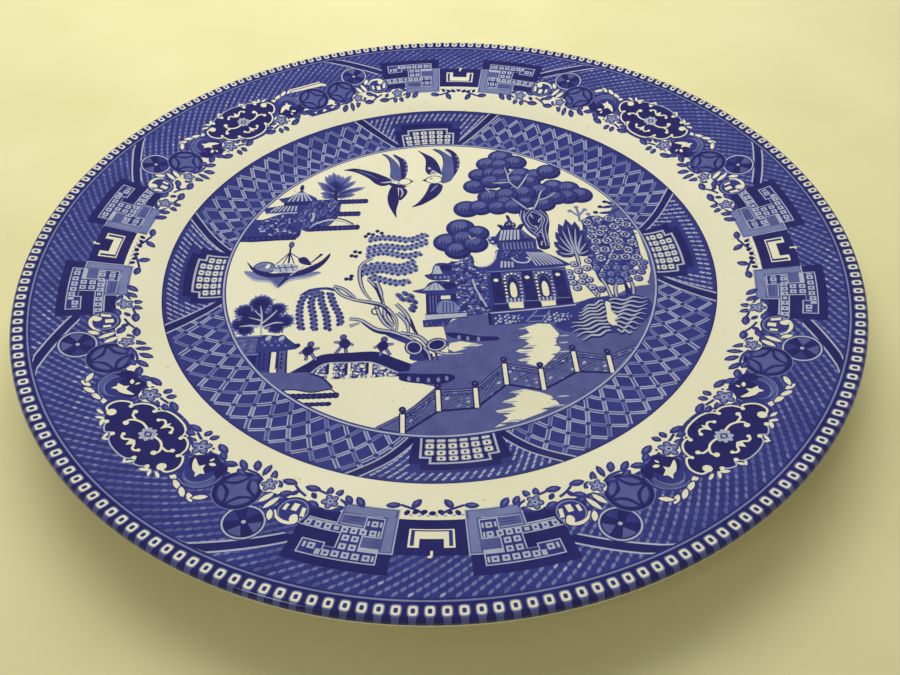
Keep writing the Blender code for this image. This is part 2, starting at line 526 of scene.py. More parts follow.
def bracket(sheet):
    """Dark block at the middle of a fret, with a white trough and a tick above it."""
    sheet.ink(DEEP, box(-8.2, 101.0, 8.2, 111.2))
    sheet.ink(WHITE, [(-5.4, 103.7), (5.4, 103.7), (5.4, 109.0), (2.8, 109.0), (2.8, 106.5), (-2.8, 106.5),
                      (-2.8, 109.0), (-5.4, 109.0)])
    sheet.ink(BLUE, box(-4.9, 104.3, -4.0, 108.5), box(4.0, 104.3, 4.9, 108.5), box(-4.9, 104.0, 4.9, 104.35))
    sheet.line(WHITE, [(-0.7, 111.3), (0, 111.4), (0.1, 109.8)], 0.6)
    for x in (-6.6, -4.4, -2.2, 0, 2.2, 4.4, 6.6):
        sheet.ink(DEEP, oval(x, 98.7 + 0.25 * math.cos(x), 0.95, 0.7, 8 * x))
        sheet.ink(PALE, oval(x + 1.1, 99.7, 0.45, 0.4, 0, 8))


def block(x, y, across, tall):
    """A box given by its middle and its half sizes."""
    return box(x - across, y - tall, x + across, y + tall)


def cell(sheet, x, y, half, hole):
    sheet.ink(PALE, block(x, y, half, half))
    sheet.ink(BLUE, block(x, y, hole, hole))


# Places of the fret's whole cells, and places and half sizes of the ones that its frame cuts.
FRET_CELLS = ((13.6, 112.9), (15.9, 112.9), (18.1, 112.9), (20.3, 112.9), (22.4, 113.1), (25.9, 112.0),
              (17.2, 110.6), (19.4, 110.6), (17.2, 108.2), (19.4, 108.2), (13.6, 106.0), (15.9, 106.0),
              (18.1, 106.0), (20.3, 106.0), (24.4, 106.0), (26.8, 106.0), (29.3, 106.0), (13.7, 103.3))
CUT_CELLS = ((12.2, 112.9, 0.25, 0.75), (24.1, 113.2, 0.55, 0.75), (27.5, 112.0, 0.3, 0.75),
             (12.2, 106.0, 0.25, 0.75), (12.2, 103.3, 0.25, 0.75), (15.3, 103.3, 0.25, 0.75),
             (22.3, 106.0, 0.6, 0.5))


def fret(sheet):
    """Key fret beside the bracket: dark key, smooth pale block and rows of small cells."""
    sheet.ink(DEEP, box(8.6, 101.3, 31.1, 116.8))
    sheet.ink(PALE, [(8.2, 98.1), (22.8, 98.1), (22.8, 106.1), (15.9, 106.1), (15.9, 111.3), (8.2, 111.3)])
    sheet.ink(MID, [(8.5, 98.4), (22.5, 98.4), (22.5, 105.9), (15.7, 105.9), (15.7, 111.0), (8.5, 111.0)])
    sheet.ink(SOFT, box(8.8, 100.9, 10.9, 110.7), box(9.2, 98.7, 22.2, 100.9))
    sheet.ink(PALE, box(11.4, 110.2, 28.6, 114.5), box(15.6, 106.0, 21.0, 111.5),
              box(11.4, 101.4, 16.1, 107.2), box(11.4, 104.9, 31.1, 107.2))
    sheet.ink(BLUE, box(11.7, 111.4, 28.3, 114.2), box(15.9, 105.2, 20.7, 111.5),
              box(11.7, 101.7, 15.8, 106.9), box(11.7, 105.2, 31.1, 106.9))
    sheet.ink(DEEP, box(21.0, 107.7, 31.1, 111.3), box(22.9, 101.5, 31.1, 104.3))
    sheet.ink(PALE, box(23.2, 110.4, 28.6, 112.6))
    sheet.ink(BLUE, box(23.5, 110.7, 28.3, 112.6))
    sheet.ink(PALE, box(22.9, 104.3, 31.1, 104.7))
    for x, y in FRET_CELLS:
        cell(sheet, x, y, 0.82, 0.3)
    for x, y, across, tall in CUT_CELLS:
        sheet.ink(PALE, block(x, y, across, tall))
    sheet.line(PALE, [(16.4, 104.3), (21.9, 104.3), (21.9, 101.6), (12.2, 101.0)], 0.22, smooth=False)
    sheet.line(BLUE, [(17.0, 103.0), (20.6, 103.0), (20.6, 102.2), (16.8, 102.2)], 0.22, smooth=False)


def slanting_bar(sheet):
    """Dark bar from the fret's corner out to the edge band, with a pale line along both sides."""
    for tone, half in ((PALE, 2.7), (DEEP, 1.9)):
        sheet.ink(tone, widened([(30.4, 110.6), (36.6, 115.0), (48.5, 123.3)], half))


def pinwheel(sheet, x, y):
    """Dark wheel in a pale ring, with four slightly lighter vanes."""
    sheet.discs(x, y, 28, (BLUE, 5.2), (PALE, 4.85), (DEEP, 4.4))
    for turn, tone in ((65, MID), (155, MID), (245, BLUE), (335, BLUE)):
        sheet.ink(tone, [turned_point(x, y, 1.1, 0, turn + 25)] + arc(x, y, 4.0, turn, turn + 50, 5))
    sheet.ink(PALE, oval(x, y, 0.55, steps=8))


def coin(sheet, x, y):
    """Dark coin with a hollow-sided square and four petals."""
    sheet.discs(x, y, 28, (SOFT, 6.15), (DEEP, 5.95))
    for tone, size in ((BLUE, 4.7), (MID, 4.2)):
        corners = [turned_point(x, y, size, 0, turn) for turn in (0, 90, 180, 270, 360)]
        square = []
        for a, b in zip(corners, corners[1:]):
            for t in (0, 0.25, 0.5, 0.75):
                pull = 1 - 1.5 * t * (1 - t)
                square.append([c + (p * (1 - t) + q * t - c) * pull for c, p, q in zip((x, y), a, b)])
        sheet.ink(tone, square)
    for turn in (45, 135, 225, 315):
        sheet.ink(BLUE, leaf(*turned_point(x, y, 3.85, 0, turn), 5.8, 2.3, turn + 90))
        sheet.ink(MID, leaf(*turned_point(x, y, 3.8, 0, turn), 5.1, 1.6, turn + 90))


def scroll(sheet):
    """End of the fret's cell row, rolled up under a white curl, with white leaves beside it."""
    for tone, size in ((DEEP, 4.35), (SOFT, 3.8), (BLUE, 3.35)):
        sheet.discs(34.1, 104.3, 24, (tone, size, size * 0.97))
    sheet.ink(WHITE, box(35.9, 102.8, 36.8, 104.8), box(33.4, 102.0, 34.9, 104.2),
              [(32.5, 102.6), (31.5, 102.6), (30.9, 105.2), (32.0, 105.2)])
    cell(sheet, 31.8, 106.4, 0.7, 0.28)
    sheet.edged(WHITE, BLUE, [(38.2, 105.6), (37.0, 107.1), (35.2, 107.9), (33.3, 107.8), (32.1, 106.9),
                              (32.7, 105.9)], 0.95, ends=(0.4, 1.0))
    sheet.ink(WHITE, oval(33.0, 106.2, 0.95, 1.2))
    for start, end, width in (((43.2, 105.3), (41.4, 101.3), 1.5), ((41.1, 106.5), (39.4, 101.8), 1.4),
                              ((37.8, 108.8), (39.3, 105.9), 1.5), ((44.6, 102.2), (42.9, 100.4), 1.1)):
        sheet.ink(BLUE, blade(start, end, width + 0.9))
        sheet.ink(WHITE, blade(start, end, width))


def acanthus(sheet):
    """Crescent with a fringe of white leaves and a dark hook that holds a white leaf."""
    sheet.discs(61.6, 104.8, 28, (BLUE, 6.5, 6.2), (SOFT, 5.9, 5.6), (BLUE, 5.6, 5.3))
    sheet.discs(60.6, 106.2, 24, (MID, 4.2, 3.6))
    sheet.discs(61.2, 105.0, 24, (BLUE, 4.0, 3.8))
    sheet.line(SOFT, arc(62.0, 104.6, 4.4, 80, 185, 8), 0.3)
    sheet.ink(DEEP, oval(63.0, 102.6, 4.0, 3.5, steps=20), leaf(57.8, 102.0, 6.2, 3.0, -62))
    sheet.ink(WHITE, curve([(60.0, 105.1), (60.9, 105.7), (61.1, 107.2), (62.1, 106.2), (63.4, 105.9),
                            (65.0, 104.6), (66.0, 103.0), (64.4, 103.6), (63.0, 104.1), (62.2, 102.9),
                            (61.7, 104.2)], True, 2))
    sheet.ink(WHITE, leaf(60.9, 101.9, 2.0, 1.1, 20), leaf(62.2, 100.9, 1.4, 0.7, 80))
    for x, y, size, turn in ((65.0, 110.2, 2.6, 172), (62.4, 111.3, 3.6, 160), (59.8, 112.1, 3.4, 146),
                             (57.2, 112.2, 3.2, 150), (55.4, 110.9, 3.6, 222)):
        sheet.ink(BLUE, leaf(x, y, size + 1.0, 2.2, turn))
        sheet.ink(WHITE, leaf(x, y, size, 1.4, turn))


MEDALLION_BELOW = ((0, 97.9), (2.6, 98.1), (4.8, 98.9), (5.9, 100.0), (6.3, 101.0), (7.2, 100.5),
                   (9.2, 101.0), (10.8, 102.5), (11.3, 104.0), (11.5, 105.1), (12.4, 104.7), (13.8, 105.9),
                   (14.6, 107.6), (14.4, 109.3), (13.6, 110.4), (12.3, 110.6))
MEDALLION_ABOVE = ((11.2, 111.4), (10.3, 112.7), (9.3, 112.1), (8.2, 113.2), (6.4, 113.9), (5.6, 113.0),
                   (4.9, 112.7), (4.2, 114.0), (2.4, 114.7), (0, 114.9))


def medallion(sheet):
    """Half of the lobed dark medallion, up to its middle at HALF_LENGTH, with half of its flower."""
    m = HALF_LENGTH
    below = [(m - u, r) for u, r in MEDALLION_BELOW]
    above = [(m - u, r) for u, r in MEDALLION_ABOVE]
    sheet.ink(BLUE, stroke(below, 2.6))
    sheet.line(PALE, below, 0.4, shift=-0.95)
    sheet.ink(DEEP, curve(below) + curve(above))
    sheet.line(WHITE, below, 0.55)
    sheet.line(PALE, above[1:], 0.35)
    for u, r, size in ((11.6, 110.0, 1.15), (6.5, 101.3, 0.6), (11.3, 105.3, 0.55), (9.2, 112.2, 0.6),
                       (4.9, 112.8, 0.6)):
        sheet.ink(WHITE, oval(m - u, r, size))
    sheet.ink(WHITE, leaf(m - 5.2, 114.3, 2.2, 0.8, 60), leaf(m - 4.3, 114.9, 1.8, 0.7, 140),
              leaf(m - 9.6, 113.2, 2.6, 1.0, 40), leaf(m - 11.2, 113.0, 2.4, 0.9, 130),
              leaf(m - 13.0, 112.2, 2.4, 0.9, 160))
    for line, tip in (([(0, 110.0), (1.2, 110.7), (1.9, 111.5), (2.9, 111.5), (3.4, 110.8)], 0.55),
                      ([(0, 102.0), (1.1, 101.1), (2.2, 101.0), (3.0, 102.0)], 0.6),
                      ([(1.7, 105.6), (4.2, 105.5), (6.1, 106.4), (7.0, 107.7), (6.5, 108.7)], 0.8),
                      ([(5.8, 106.3), (8.1, 106.2), (8.9, 105.2)], 0.7)):
        mirrored = [(m - u, r) for u, r in line]
        sheet.line(WHITE, mirrored, 0.6)
        sheet.ink(WHITE, oval(*mirrored[-1], tip, tip * 0.9, steps=10))
    for y, size in ((110.9, 2.6), (101.7, 3.2)):
        sheet.ink(WHITE, [(m, y + size / 2), (m - 0.75, y), (m, y - size / 2)])
    for turn in (90, 135, 180, 225, 270):
        sheet.ink(PALE, oval(*turned_point(m, 106.4, 1.5, 0, turn), 0.85, 0.62, turn, 10))
    sheet.ink(BLUE, [(m, 107.7), (m - 1.3, 106.4), (m, 105.1)])
    sheet.ink(PALE, [(m, 107.0), (m - 0.6, 106.4), (m, 105.8)])


def blossom(sheet, x, y, size):
    """Five-petalled flower."""
    turns = [90 + 72 * k for k in range(5)]
    for turn in turns:
        sheet.ink(BLUE, oval(*turned_point(x, y, size * 0.62, 0, turn), size * 0.55, size * 0.46, turn, 12))
    for turn in turns:
        sheet.ink(SOFT, oval(*turned_point(x, y, size * 0.6, 0, turn), size * 0.40, size * 0.28, turn, 10))
    sheet.ink(PALE, oval(x, y, size * 0.36, steps=8))
    sheet.ink(BLUE, oval(x, y, size * 0.2, steps=6))


SPRIG_LEAVES = ((4.3, 95.9, 3.6, 2.2, 52), (10.3, 96.9, 4.0, 2.0, 8), (19.1, 97.3, 4.0, 2.2, -48),
                (22.3, 97.2, 3.4, 2.0, -50), (25.6, 95.7, 2.8, 2.0, 70), (28.3, 95.7, 2.8, 2.0, 110),
                (33.0, 96.3, 4.4, 2.2, 4), (39.9, 96.6, 4.2, 2.2, 6), (44.9, 96.7, 4.2, 1.9, -60),
                (47.9, 95.9, 4.2, 1.9, -80), (51.2, 95.9, 4.0, 2.2, -48), (54.4, 97.6, 4.4, 2.0, -28),
                (63.3, 96.6, 4.6, 2.2, -14), (68.6, 95.4, 2.6, 2.1, 70), (71.2, 95.5, 2.6, 2.1, 110),
                (75.4, 96.7, 4.6, 2.2, 10))
SPRIG_STEMS = (((2.2, 99.5), (3.8, 98.2), (8.3, 96.6)), ((22.2, 99.2), (24.2, 97.8), (31.0, 96.4)),
               ((33.5, 99.2), (36.0, 98.2), (38.0, 96.9)), ((46.0, 99.5), (49.0, 98.2), (52.4, 98.3)),
               ((64.9, 98.0), (67.6, 98.6), (73.5, 97.2)))
INNER_EDGE_LEAVES = ((24.3, 100.6, 3.8, 2.0, 25), (30.4, 101.0, 3.6, 2.1, -20), (38.6, 100.4, 3.6, 2.2, 35),
                     (42.0, 98.3, 3.0, 1.8, -30), (48.6, 99.6, 3.6, 2.0, 30), (53.0, 99.8, 3.4, 2.0, -15),
                     (57.4, 99.2, 4.0, 2.2, 20), (61.0, 98.4, 3.4, 2.0, -25), (65.6, 100.2, 3.4, 2.0, 40),
                     (71.2, 99.9, 3.4, 1.9, -20), (74.4, 98.6, 3.0, 1.8, 15))


def sprigs(sheet):
    """Leaves and blossoms that hang from the rim border's inner edge."""
    for x, y, length, width, turn in INNER_EDGE_LEAVES + SPRIG_LEAVES:
        sheet.ink(BLUE, leaf(x, y, length * 1.1, width * 1.08, turn))
        sheet.ink(MID, leaf(x + 0.15, y - 0.2, length * 0.6, width * 0.36, turn))
    sheet.lines(BLUE, SPRIG_STEMS, 0.75)
    for x, y, size in ((26.8, 98.9, 2.1), (44.1, 99.6, 1.9), (68.0, 99.7, 2.4)):
        sheet.ink(WHITE, oval(x, y, size + 0.5, steps=12))
        blossom(sheet, x, y, size)
    for x, y, turn in ((31.6, 98.4, -40), (36.6, 99.2, 60)):
        sheet.ink(BLUE, leaf(x, y, 2.6, 1.6, turn))


def rim_place(centre, direction, gap):
    """Turns u, r into millimetres on the plate; beyond the split the motifs move on by the gap."""
    def place(u, r):
        away = u + gap if u > SPLIT else u
        turn = math.radians(centre) + direction * away / RIM_SCALE_RADIUS
        sunk = r + RIM_DRIFT + RIM_DRIFT_X * math.cos(turn) + RIM_DRIFT_Y * math.sin(turn)
        return polar(min(sunk, MOTIF_LIMIT), turn)
    return place


def rim_border():
    """The edge band, the dashed ground and eight motif drawings from a fret to a medallion."""
    sheet = Sheet()
    edge_band(sheet)
    dashed_ground(sheet)
    sheet.ink(WHITE, ring(100.7))
    for k, centre in enumerate(FRETS):
        for side in (-1, 1):
            target = MEDALLIONS[k] if side > 0 else MEDALLIONS[k - 1]
            span = math.radians(abs((target - centre + 180) % 360 - 180)) * RIM_SCALE_RADIUS
            gap = SECOND_COIN_ROOM if span > HALF_LENGTH + SECOND_COIN_ROOM else 0.0
            stretch = span / (HALF_LENGTH + gap)
            sheet.place = rim_place(centre, side * stretch, gap)
            if side > 0:
                bracket(sheet)
            slanting_bar(sheet)
            fret(sheet)
            pinwheel(sheet, *PINWHEEL)
            scroll(sheet)
            coin(sheet, *COIN)
            acanthus(sheet)
            medallion(sheet)
            sprigs(sheet)
            if gap:
                sheet.place = rim_place(centre, side * stretch, 0.0)
                coin(sheet, *SECOND_COIN)
                for x, turn in SECOND_COIN_LEAVES:
                    sheet.ink(BLUE, leaf(x, 97.4, 4.0, 2.0, turn))
    sheet.place = None
    return sheet.shapes


# ---- Well border: u runs along the ring from the middle of a cartouche, in millimetres at r = 80 ----
WELL_OUTER_EDGE = 88.2
WELL_GROUND_EDGE = 87.8
WELL_LINES = ((BLUE, 71.2), (PALE, 70.75), (MID, 70.25), (WHITE, 70.0))
WELL_UNITS = (0.4, 91.4, 182.3, 271.8)
TRELLIS_PEAKS = 76
TRELLIS_ROWS = (70.2, 74.4, 78.6, 82.8, 87.0)
CELL_CORNERS = ((-1, -0.6), (-0.7, -1), (0.7, -1), (1, -0.6), (1, 0.6), (0.7, 1), (-0.7, 1), (-1, 0.6))
BAR_LINE = ((13.1, 71.0), (16.4, 75.5), (19.6, 80.0), (22.6, 84.0), (25.3, 87.9))
PANEL_FRAME = ((12.4, 70.8), (13.5, 74.3), (13.5, 80.4), (10.3, 80.4), (10.3, 82.7))

# Rows of cells in a cartouche's panel: radius, number of cells and half their height.
PANEL_ROWS = ((78.2, 4, 0.9), (76.1, 6, 0.95), (73.8, 6, 0.95), (72.0, 6, 0.5))


def trellis(sheet):
    """Basket weave of soft ribbons, each with two pale lines, that stop short of each crossing."""
    half = math.pi * WELL_SCALE_RADIUS / TRELLIS_PEAKS
    for row, (low, high) in enumerate(zip(TRELLIS_ROWS, TRELLIS_ROWS[1:])):
        for k in range(TRELLIS_PEAKS):
            start = (2 * k + row % 2) * half
            for way in (-1, 1):
                worn = math.sin(0.7 * k + 2.1 * row + way)
                line = [(start + way * half * t, low + (high - low) * t) for t in (0.12, 0.90)]
                sheet.line(SOFT if worn > 0.1 else MID, line, 1.5, ends=(0.8, 0.8))
                for shift in (-0.48, 0.48):
                    sheet.line(PALE if worn > -0.3 else SOFT, line, 0.5, ends=(0.6, 0.6), shift=shift)


def both_sides(line):
    """The outline between a line and its mirror image."""
    return [(-u, r) for u, r in line] + list(line[::-1])


def cartouche(sheet):
    """Stepped panel of white cells in a dark frame, between two dark slanting bars."""
    sheet.ink(BLUE, both_sides(BAR_LINE[::-1]))
    for row in range(9):
        for k in range(-12, 13):
            u, r = 2.1 * (k + 0.5 * (row % 2)), 73.0 + 1.65 * row
            reach = 13.1 + 12.3 * (r - 71) / 17.2
            if abs(u) < reach and (r > 83 or abs(u) > 13):
                slant = [(u - 0.5, r + 0.66), (u + 0.5, r - 0.66)]
                sheet.line(MID, slant, 0.95, smooth=False)
                sheet.line(PALE if (2 * k + row) % 5 else SOFT, slant, 0.42, smooth=False)
    for side in (-1, 1):
        for tone, half in ((PALE, 1.95), (DEEP, 1.4)):
            sheet.ink(tone, widened([(side * u, r) for u, r in BAR_LINE], half))
    sheet.ink(DEEP, both_sides(PANEL_FRAME))
    for tone, inset in ((PALE, 0.0), (DEEP, 0.65)):
        top, shoulder = 80.3 - inset, 78.2 - inset
        sheet.ink(tone, both_sides(((11.2 - inset, 70.8), (10.9 - inset, shoulder), (8.2 - inset, shoulder),
                                    (8.2 - inset, top))))
    for r, count, tall in PANEL_ROWS:
        for k in range(count):
            u = 3.3 * (k - (count - 1) / 2)
            for tone, grow in ((PALE, 0.0), (WHITE, 0.36)):
                sheet.ink(tone, [(u + (1.3 - grow) * a, r + (tall - grow) * b) for a, b in CELL_CORNERS])
            if tall > 0.5:
                sheet.ink(DEEP, block(u, r, 0.36, 0.34))


def well_border():
    """The trellis ground, four cartouches on it and the ring lines along its inner edge."""
    sheet = Sheet()
    sheet.ink(DEEP, ring(WELL_OUTER_EDGE))
    sheet.ink(BLUE, ring(WELL_GROUND_EDGE))
    sheet.place = lambda u, r: polar(r, u / WELL_SCALE_RADIUS)
    trellis(sheet)
    for centre in WELL_UNITS:
        sheet.place = lambda u, r: polar(r, math.radians(centre) + u / WELL_SCALE_RADIUS)
        cartouche(sheet)
    sheet.place = None
    for tone, radius in WELL_LINES:
        sheet.ink(tone, ring(radius))
    return sheet.shapes


# ---- Centre scene: x to the right, y away from the viewer, in millimetres from the plate's middle ----
SCENE_EDGE = 70.0


def round_edge(start, end, steps):
    """Part of the scene's round edge, from one angle to another."""
    return arc(0, 0, SCENE_EDGE + 0.5, start, end, steps)


def beaded_spit(sheet, line, width=2.6):
    """Dark spit of land with a round-stoned edge."""
    for x, y, _ in along(line, 1.5):
        sheet.ink(DEEP, oval(x, y, 1.1, width / 2 + 0.2, steps=10))
    sheet.line(DEEP, line, width)
    for x, y, _ in along(line, 1.9):
        sheet.ink(BLUE, oval(x, y, 0.6, width * 0.24, steps=8))


def leaf_band(sheet, line, width=3.3, tone=SOFT):
    """Hanging willow leaves: two rows of small soft leaves, each with a dark heart."""
    sheet.line(tone, line, width * 0.6)
    for k, (x, y, turn) in enumerate(along(line, 0.92)):
        side = 0.27 * width * (1 if k % 2 else -1)
        px, py = turned_point(x, y, 0, side, turn)
        sheet.ink(tone, oval(px, py, 0.9, 0.27 * width, turn, 10))
        sheet.ink(DEEP if k % 5 else BLUE, oval(px, py, 0.42, 0.2 * width, turn, 8))


def cloud_lobes(sheet, lobes):
    """Round leaf masses: dark below and at their edges, lighter towards the top."""
    for x, y, size in lobes:
        sheet.ink(BLUE, oval(x, y, size * 1.2, steps=24))
    for x, y, size in lobes:
        sheet.ink(DEEP, oval(x, y, size * 1.13, steps=24))
        sheet.ink(BLUE, oval(x - 0.05 * size, y + 0.16 * size, size, size * 0.92, steps=20))
        sheet.ink(MID, oval(x - 0.14 * size, y + 0.34 * size, size * 0.68, size * 0.56, 25, 16))
        for k in range(5):
            foot = (x + (0.26 * k - 0.5) * size, y - (0.46 - 0.1 * abs(k - 2)) * size)
            sheet.ink(DEEP, blade(foot, (foot[0] + 0.06 * size, foot[1] + 0.5 * size), 0.17 * size))


def feathery_lobe(sheet, x, y, size):
    """Dark leaf mass with a soft fringe."""
    for tone, reach, wide, turned in ((SOFT, 1.2, 0.9, 0), (BLUE, 0.75, 0.9, 10)):
        for turn in range(turned, 360, 24):
            tip = turned_point(x, y, size + reach + 0.4 * scatter(turn + x), 0, turn)
            sheet.ink(tone, blade((x, y), tip, wide))
        sheet.ink(tone, oval(x, y, size + reach - 0.7, steps=14))
    sheet.ink(DEEP, oval(x, y - 0.1 * size, size * 0.82, steps=14))


def pale_limb(sheet, line, width=0.75):
    """A trunk or branch in a dark outline, thinner at its end."""
    sheet.edged(PALE, DEEP, line, width, 0.38, ends=(0.9, 0.5))


def birds(sheet):
    """The pair of flying birds at the top, beak to beak."""
    sheet.blob(DEEP, [(-34.8, 55.4), (-31.5, 56.4), (-29, 56), (-24, 53.8), (-20, 51.2), (-16.3, 48),
                      (-17, 45.2), (-19.8, 44.2), (-22.5, 46), (-25, 49.5), (-29, 53), (-32, 54.6)])
    sheet.line(MID, [(-30, 54.9), (-25.5, 52.4), (-21.4, 48.6)], 0.8, ends=(0.2, 0.2))
    sheet.line(PALE, [(-20.5, 46.3), (-17.5, 46.6), (-15, 47.4)], 0.9, ends=(0.2, 0.8))
    sheet.blob(MID, [(-20.4, 65.6), (-17.9, 64.6), (-14.5, 59.5), (-12.6, 54), (-12.2, 48.3), (-14.2, 47.2),
                     (-16.9, 49.5), (-16.8, 55), (-17.2, 60), (-18.4, 63.2)])
    sheet.blob(DEEP, [(-15.8, 65.3), (-13.2, 63), (-11.2, 60.8), (-10.3, 57.5), (-10.3, 53), (-11.4, 48.6),
                      (-12.7, 48.4), (-12.9, 54), (-13.6, 59), (-15.2, 63)])
    sheet.line(PALE, [(-16.2, 64.2), (-14.4, 61.5), (-13.3, 58.5)], 0.55, ends=(0.3, 0.2))
    sheet.dots(SOFT, ((-11.3, 60.3), (-10.8, 57.6), (-10.7, 55), (-10.8, 52.4)), 0.4, 0.9)
    sheet.line(DEEP, [(-20.2, 65.5), (-18.2, 63), (-17, 59.5), (-16.9, 55)], 0.5, ends=(0.9, 0.2))
    sheet.blob(DEEP, [(-17.5, 46.3), (-13, 44.6), (-10.5, 43.6), (-12.5, 42.6), (-16, 43.4)])
    sheet.lined(WHITE, BLUE, [(-13.9, 46.2), (-12, 48.4), (-9.7, 47.9), (-8.9, 46.4), (-10.2, 44.8),
                              (-12.4, 44.6)])
    sheet.ink(DEEP, [(-9.3, 47.4), (-7.9, 46.5), (-9.2, 45.6)])
    sheet.blob(DEEP, [(-16.4, 43.5), (-17.7, 38), (-17.4, 33), (-16, 28.5), (-14.4, 24.8), (-14.5, 29),
                      (-13.6, 34.5), (-13.8, 39), (-14.2, 43.2)])
    sheet.blob(DEEP, [(-12.3, 43.4), (-10.4, 40.5), (-11.3, 37.2), (-13.3, 34.8), (-13.6, 38), (-13.5, 42)])
    sheet.line(PALE, [(-12.9, 42.4), (-12.2, 39.5), (-12.9, 36.8)], 0.7, ends=(0.9, 0.2))
    sheet.blob(DEEP, [(-6.3, 67.2), (-3.4, 64.8), (0.2, 61), (2, 55.5), (2.6, 50.3), (0.9, 51.5),
                      (-1.3, 50.3), (-2.8, 51.2), (-3.5, 54), (-3.2, 60), (-4.4, 64)])
    sheet.dots(PALE, ((-1.9, 54.6), (-0.6, 52.6), (-1.1, 51.2), (0.4, 51.6)), 0.65, 0.8, 30)
    sheet.blob(MID, [(-0.3, 67.6), (2.2, 67.3), (5.6, 63.5), (8.2, 59), (8.9, 54), (6.9, 48), (5.3, 45.4),
                     (2.4, 44.6), (2.6, 48), (2.7, 53), (3.6, 58.5), (3, 63)])
    sheet.blob(DEEP, [(4.6, 67.6), (7.2, 66.5), (9.2, 63), (9.9, 58.5), (9.3, 54), (7.3, 49), (7.3, 53),
                      (7.4, 58), (6.6, 62.5)])
    sheet.line(PALE, [(4.3, 66.9), (6, 64.6), (7, 61.8)], 0.6, ends=(0.3, 0.2))
    sheet.dots(SOFT, ((8.9, 62), (9.4, 59.2), (9.3, 56.4), (8.8, 53.6)), 0.4, 0.9)
    sheet.line(DEEP, [(-0.2, 67.5), (2.5, 65), (3.6, 61), (3.4, 56)], 0.5, ends=(0.9, 0.2))
    sheet.lined(WHITE, BLUE, [(-3.6, 46.9), (-1.8, 49.2), (1.2, 49.2), (2.6, 47.2), (1.4, 44.9),
                              (-1.6, 44.9)])
    sheet.ink(DEEP, [(-3.3, 48), (-4.9, 46.8), (-3.3, 45.9)])
    sheet.line(MID, [(-2, 48.2), (-0.9, 47.4)], 0.5)
    sheet.blob(DEEP, [(-1.6, 44.6), (2.5, 43.8), (2.2, 40), (0.2, 36.4), (-2.6, 33.8), (-5.6, 31.6),
                      (-9, 30.6), (-6.6, 33.2), (-4.2, 37.6), (-2.8, 41.5)])
    sheet.line(SOFT, [(0.8, 43.6), (-0.9, 41.2), (-1.9, 39.4)], 0.7, ends=(0.8, 0.2))


FIR_TIPS = ((-38.6, 54.4), (-36.4, 53), (-41.6, 52), (-40.2, 53), (-34.6, 51.6), (-31.6, 52), (-44.2, 48.4),
            (-43, 45.6), (-32.6, 48.6), (-29.6, 48.2), (-33, 45), (-26, 43.8), (-29, 42.6), (-42.6, 41.4),
            (-42, 39), (-29.4, 39.6), (-32.4, 38.8), (-39.6, 38.4))
CLIFF = ((-51, 36), (-44, 37), (-35.5, 36.6), (-34.6, 32), (-35.5, 26), (-40, 20), (-46, 19), (-51, 24),
         (-53, 30))
HILL = ((-69.5, 15.2), (-67.5, 26.5), (-62, 26.5), (-57, 29), (-52, 29.5), (-48.6, 24), (-47.8, 17),
        (-52, 15))


def far_island(sheet):
    """Island at the upper left, with a striped pagoda, a fir and beaded spits."""
    for tone, share, width in ((SOFT, 1.0, 3.0), (MID, 0.86, 2.4), (BLUE, 0.6, 1.2), (DEEP, 0.42, 0.5)):
        for x, y in FIR_TIPS:
            root = (-36.7 + 0.05 * (x + 36.7), 38.5 + 0.35 * (y - 38.5))
            tip = (root[0] + share * (x - root[0]), root[1] + share * (y - root[1]))
            sheet.ink(tone, blade(root, tip, width))
    sheet.line(DEEP, [(-36.6, 36), (-36.8, 41), (-37, 47.5)], 1.5, ends=(1, 0.2))
    sheet.blob(BLUE, CLIFF)
    flecks(sheet, CLIFF, 1.6, 2.4, 0.8, (MID, SOFT, DEEP, MID), 78)
    sheet.blob(BLUE, HILL)
    flecks(sheet, HILL[2:-1] + ((-58, 17), (-63, 21)), 1.4, 1.5, 0.8, (SOFT, DEEP, MID, PALE, BLUE))
    for line in (((-35.5, 35.4), (-25.4, 35.3)), ((-36.5, 28.2), (-27.4, 28)), ((-45.5, 20.2), (-27.6, 20.3)),
                 ((-69, 15.9), (-49, 16))):
        beaded_spit(sheet, line)
    sheet.line(PALE, [(-45, 20.8), (-42.5, 23.3), (-38, 25), (-33.5, 23.8), (-30, 21.6)], 0.9,
               ends=(0.3, 0.3))
    sheet.line(DEEP, [(-44.8, 22.6), (-42, 25.2), (-37.5, 26.3), (-33, 24.8), (-29.5, 22)], 0.6)
    sheet.line(PALE, [(-44.6, 24.5), (-43.9, 27), (-44.3, 29.6)], 0.8)
    sheet.ink(DEEP, leaf(-49.6, 44.9, 4.4, 1.7, 90))
    sheet.ink(BLUE, [(-57.6, 38.6), (-53.6, 39.6), (-51.5, 41.5), (-49.6, 43.6), (-47.6, 41.3), (-44, 38.6),
                     (-42.8, 36.2), (-56, 36.2)])
    ribs(sheet, PALE, [(-51.2, 42), (-48, 42)], [(-54.9, 36.8), (-44.6, 36.8)], 6, 0.62)
    sheet.ink(DEEP, box(-55.4, 34.4, -46.6, 36.4))
    sheet.ink(BLUE, [(-62.4, 33.2), (-55.3, 34.6), (-46.6, 34.6), (-48.6, 29.8), (-61.2, 29.9)])
    ribs(sheet, PALE, [(-57.9, 34), (-50.1, 34)], [(-60.4, 31), (-50, 31)], 7, 0.6)
    sheet.line(PALE, [(-61.2, 29.9), (-50, 30)], 0.6)
    for x, y in ((-56.9, 22), (-51.5, 25.4)):
        sheet.edged(DEEP, SOFT, [(x, y - 0.8), (x, y + 0.8)], 1.2, 0.3)


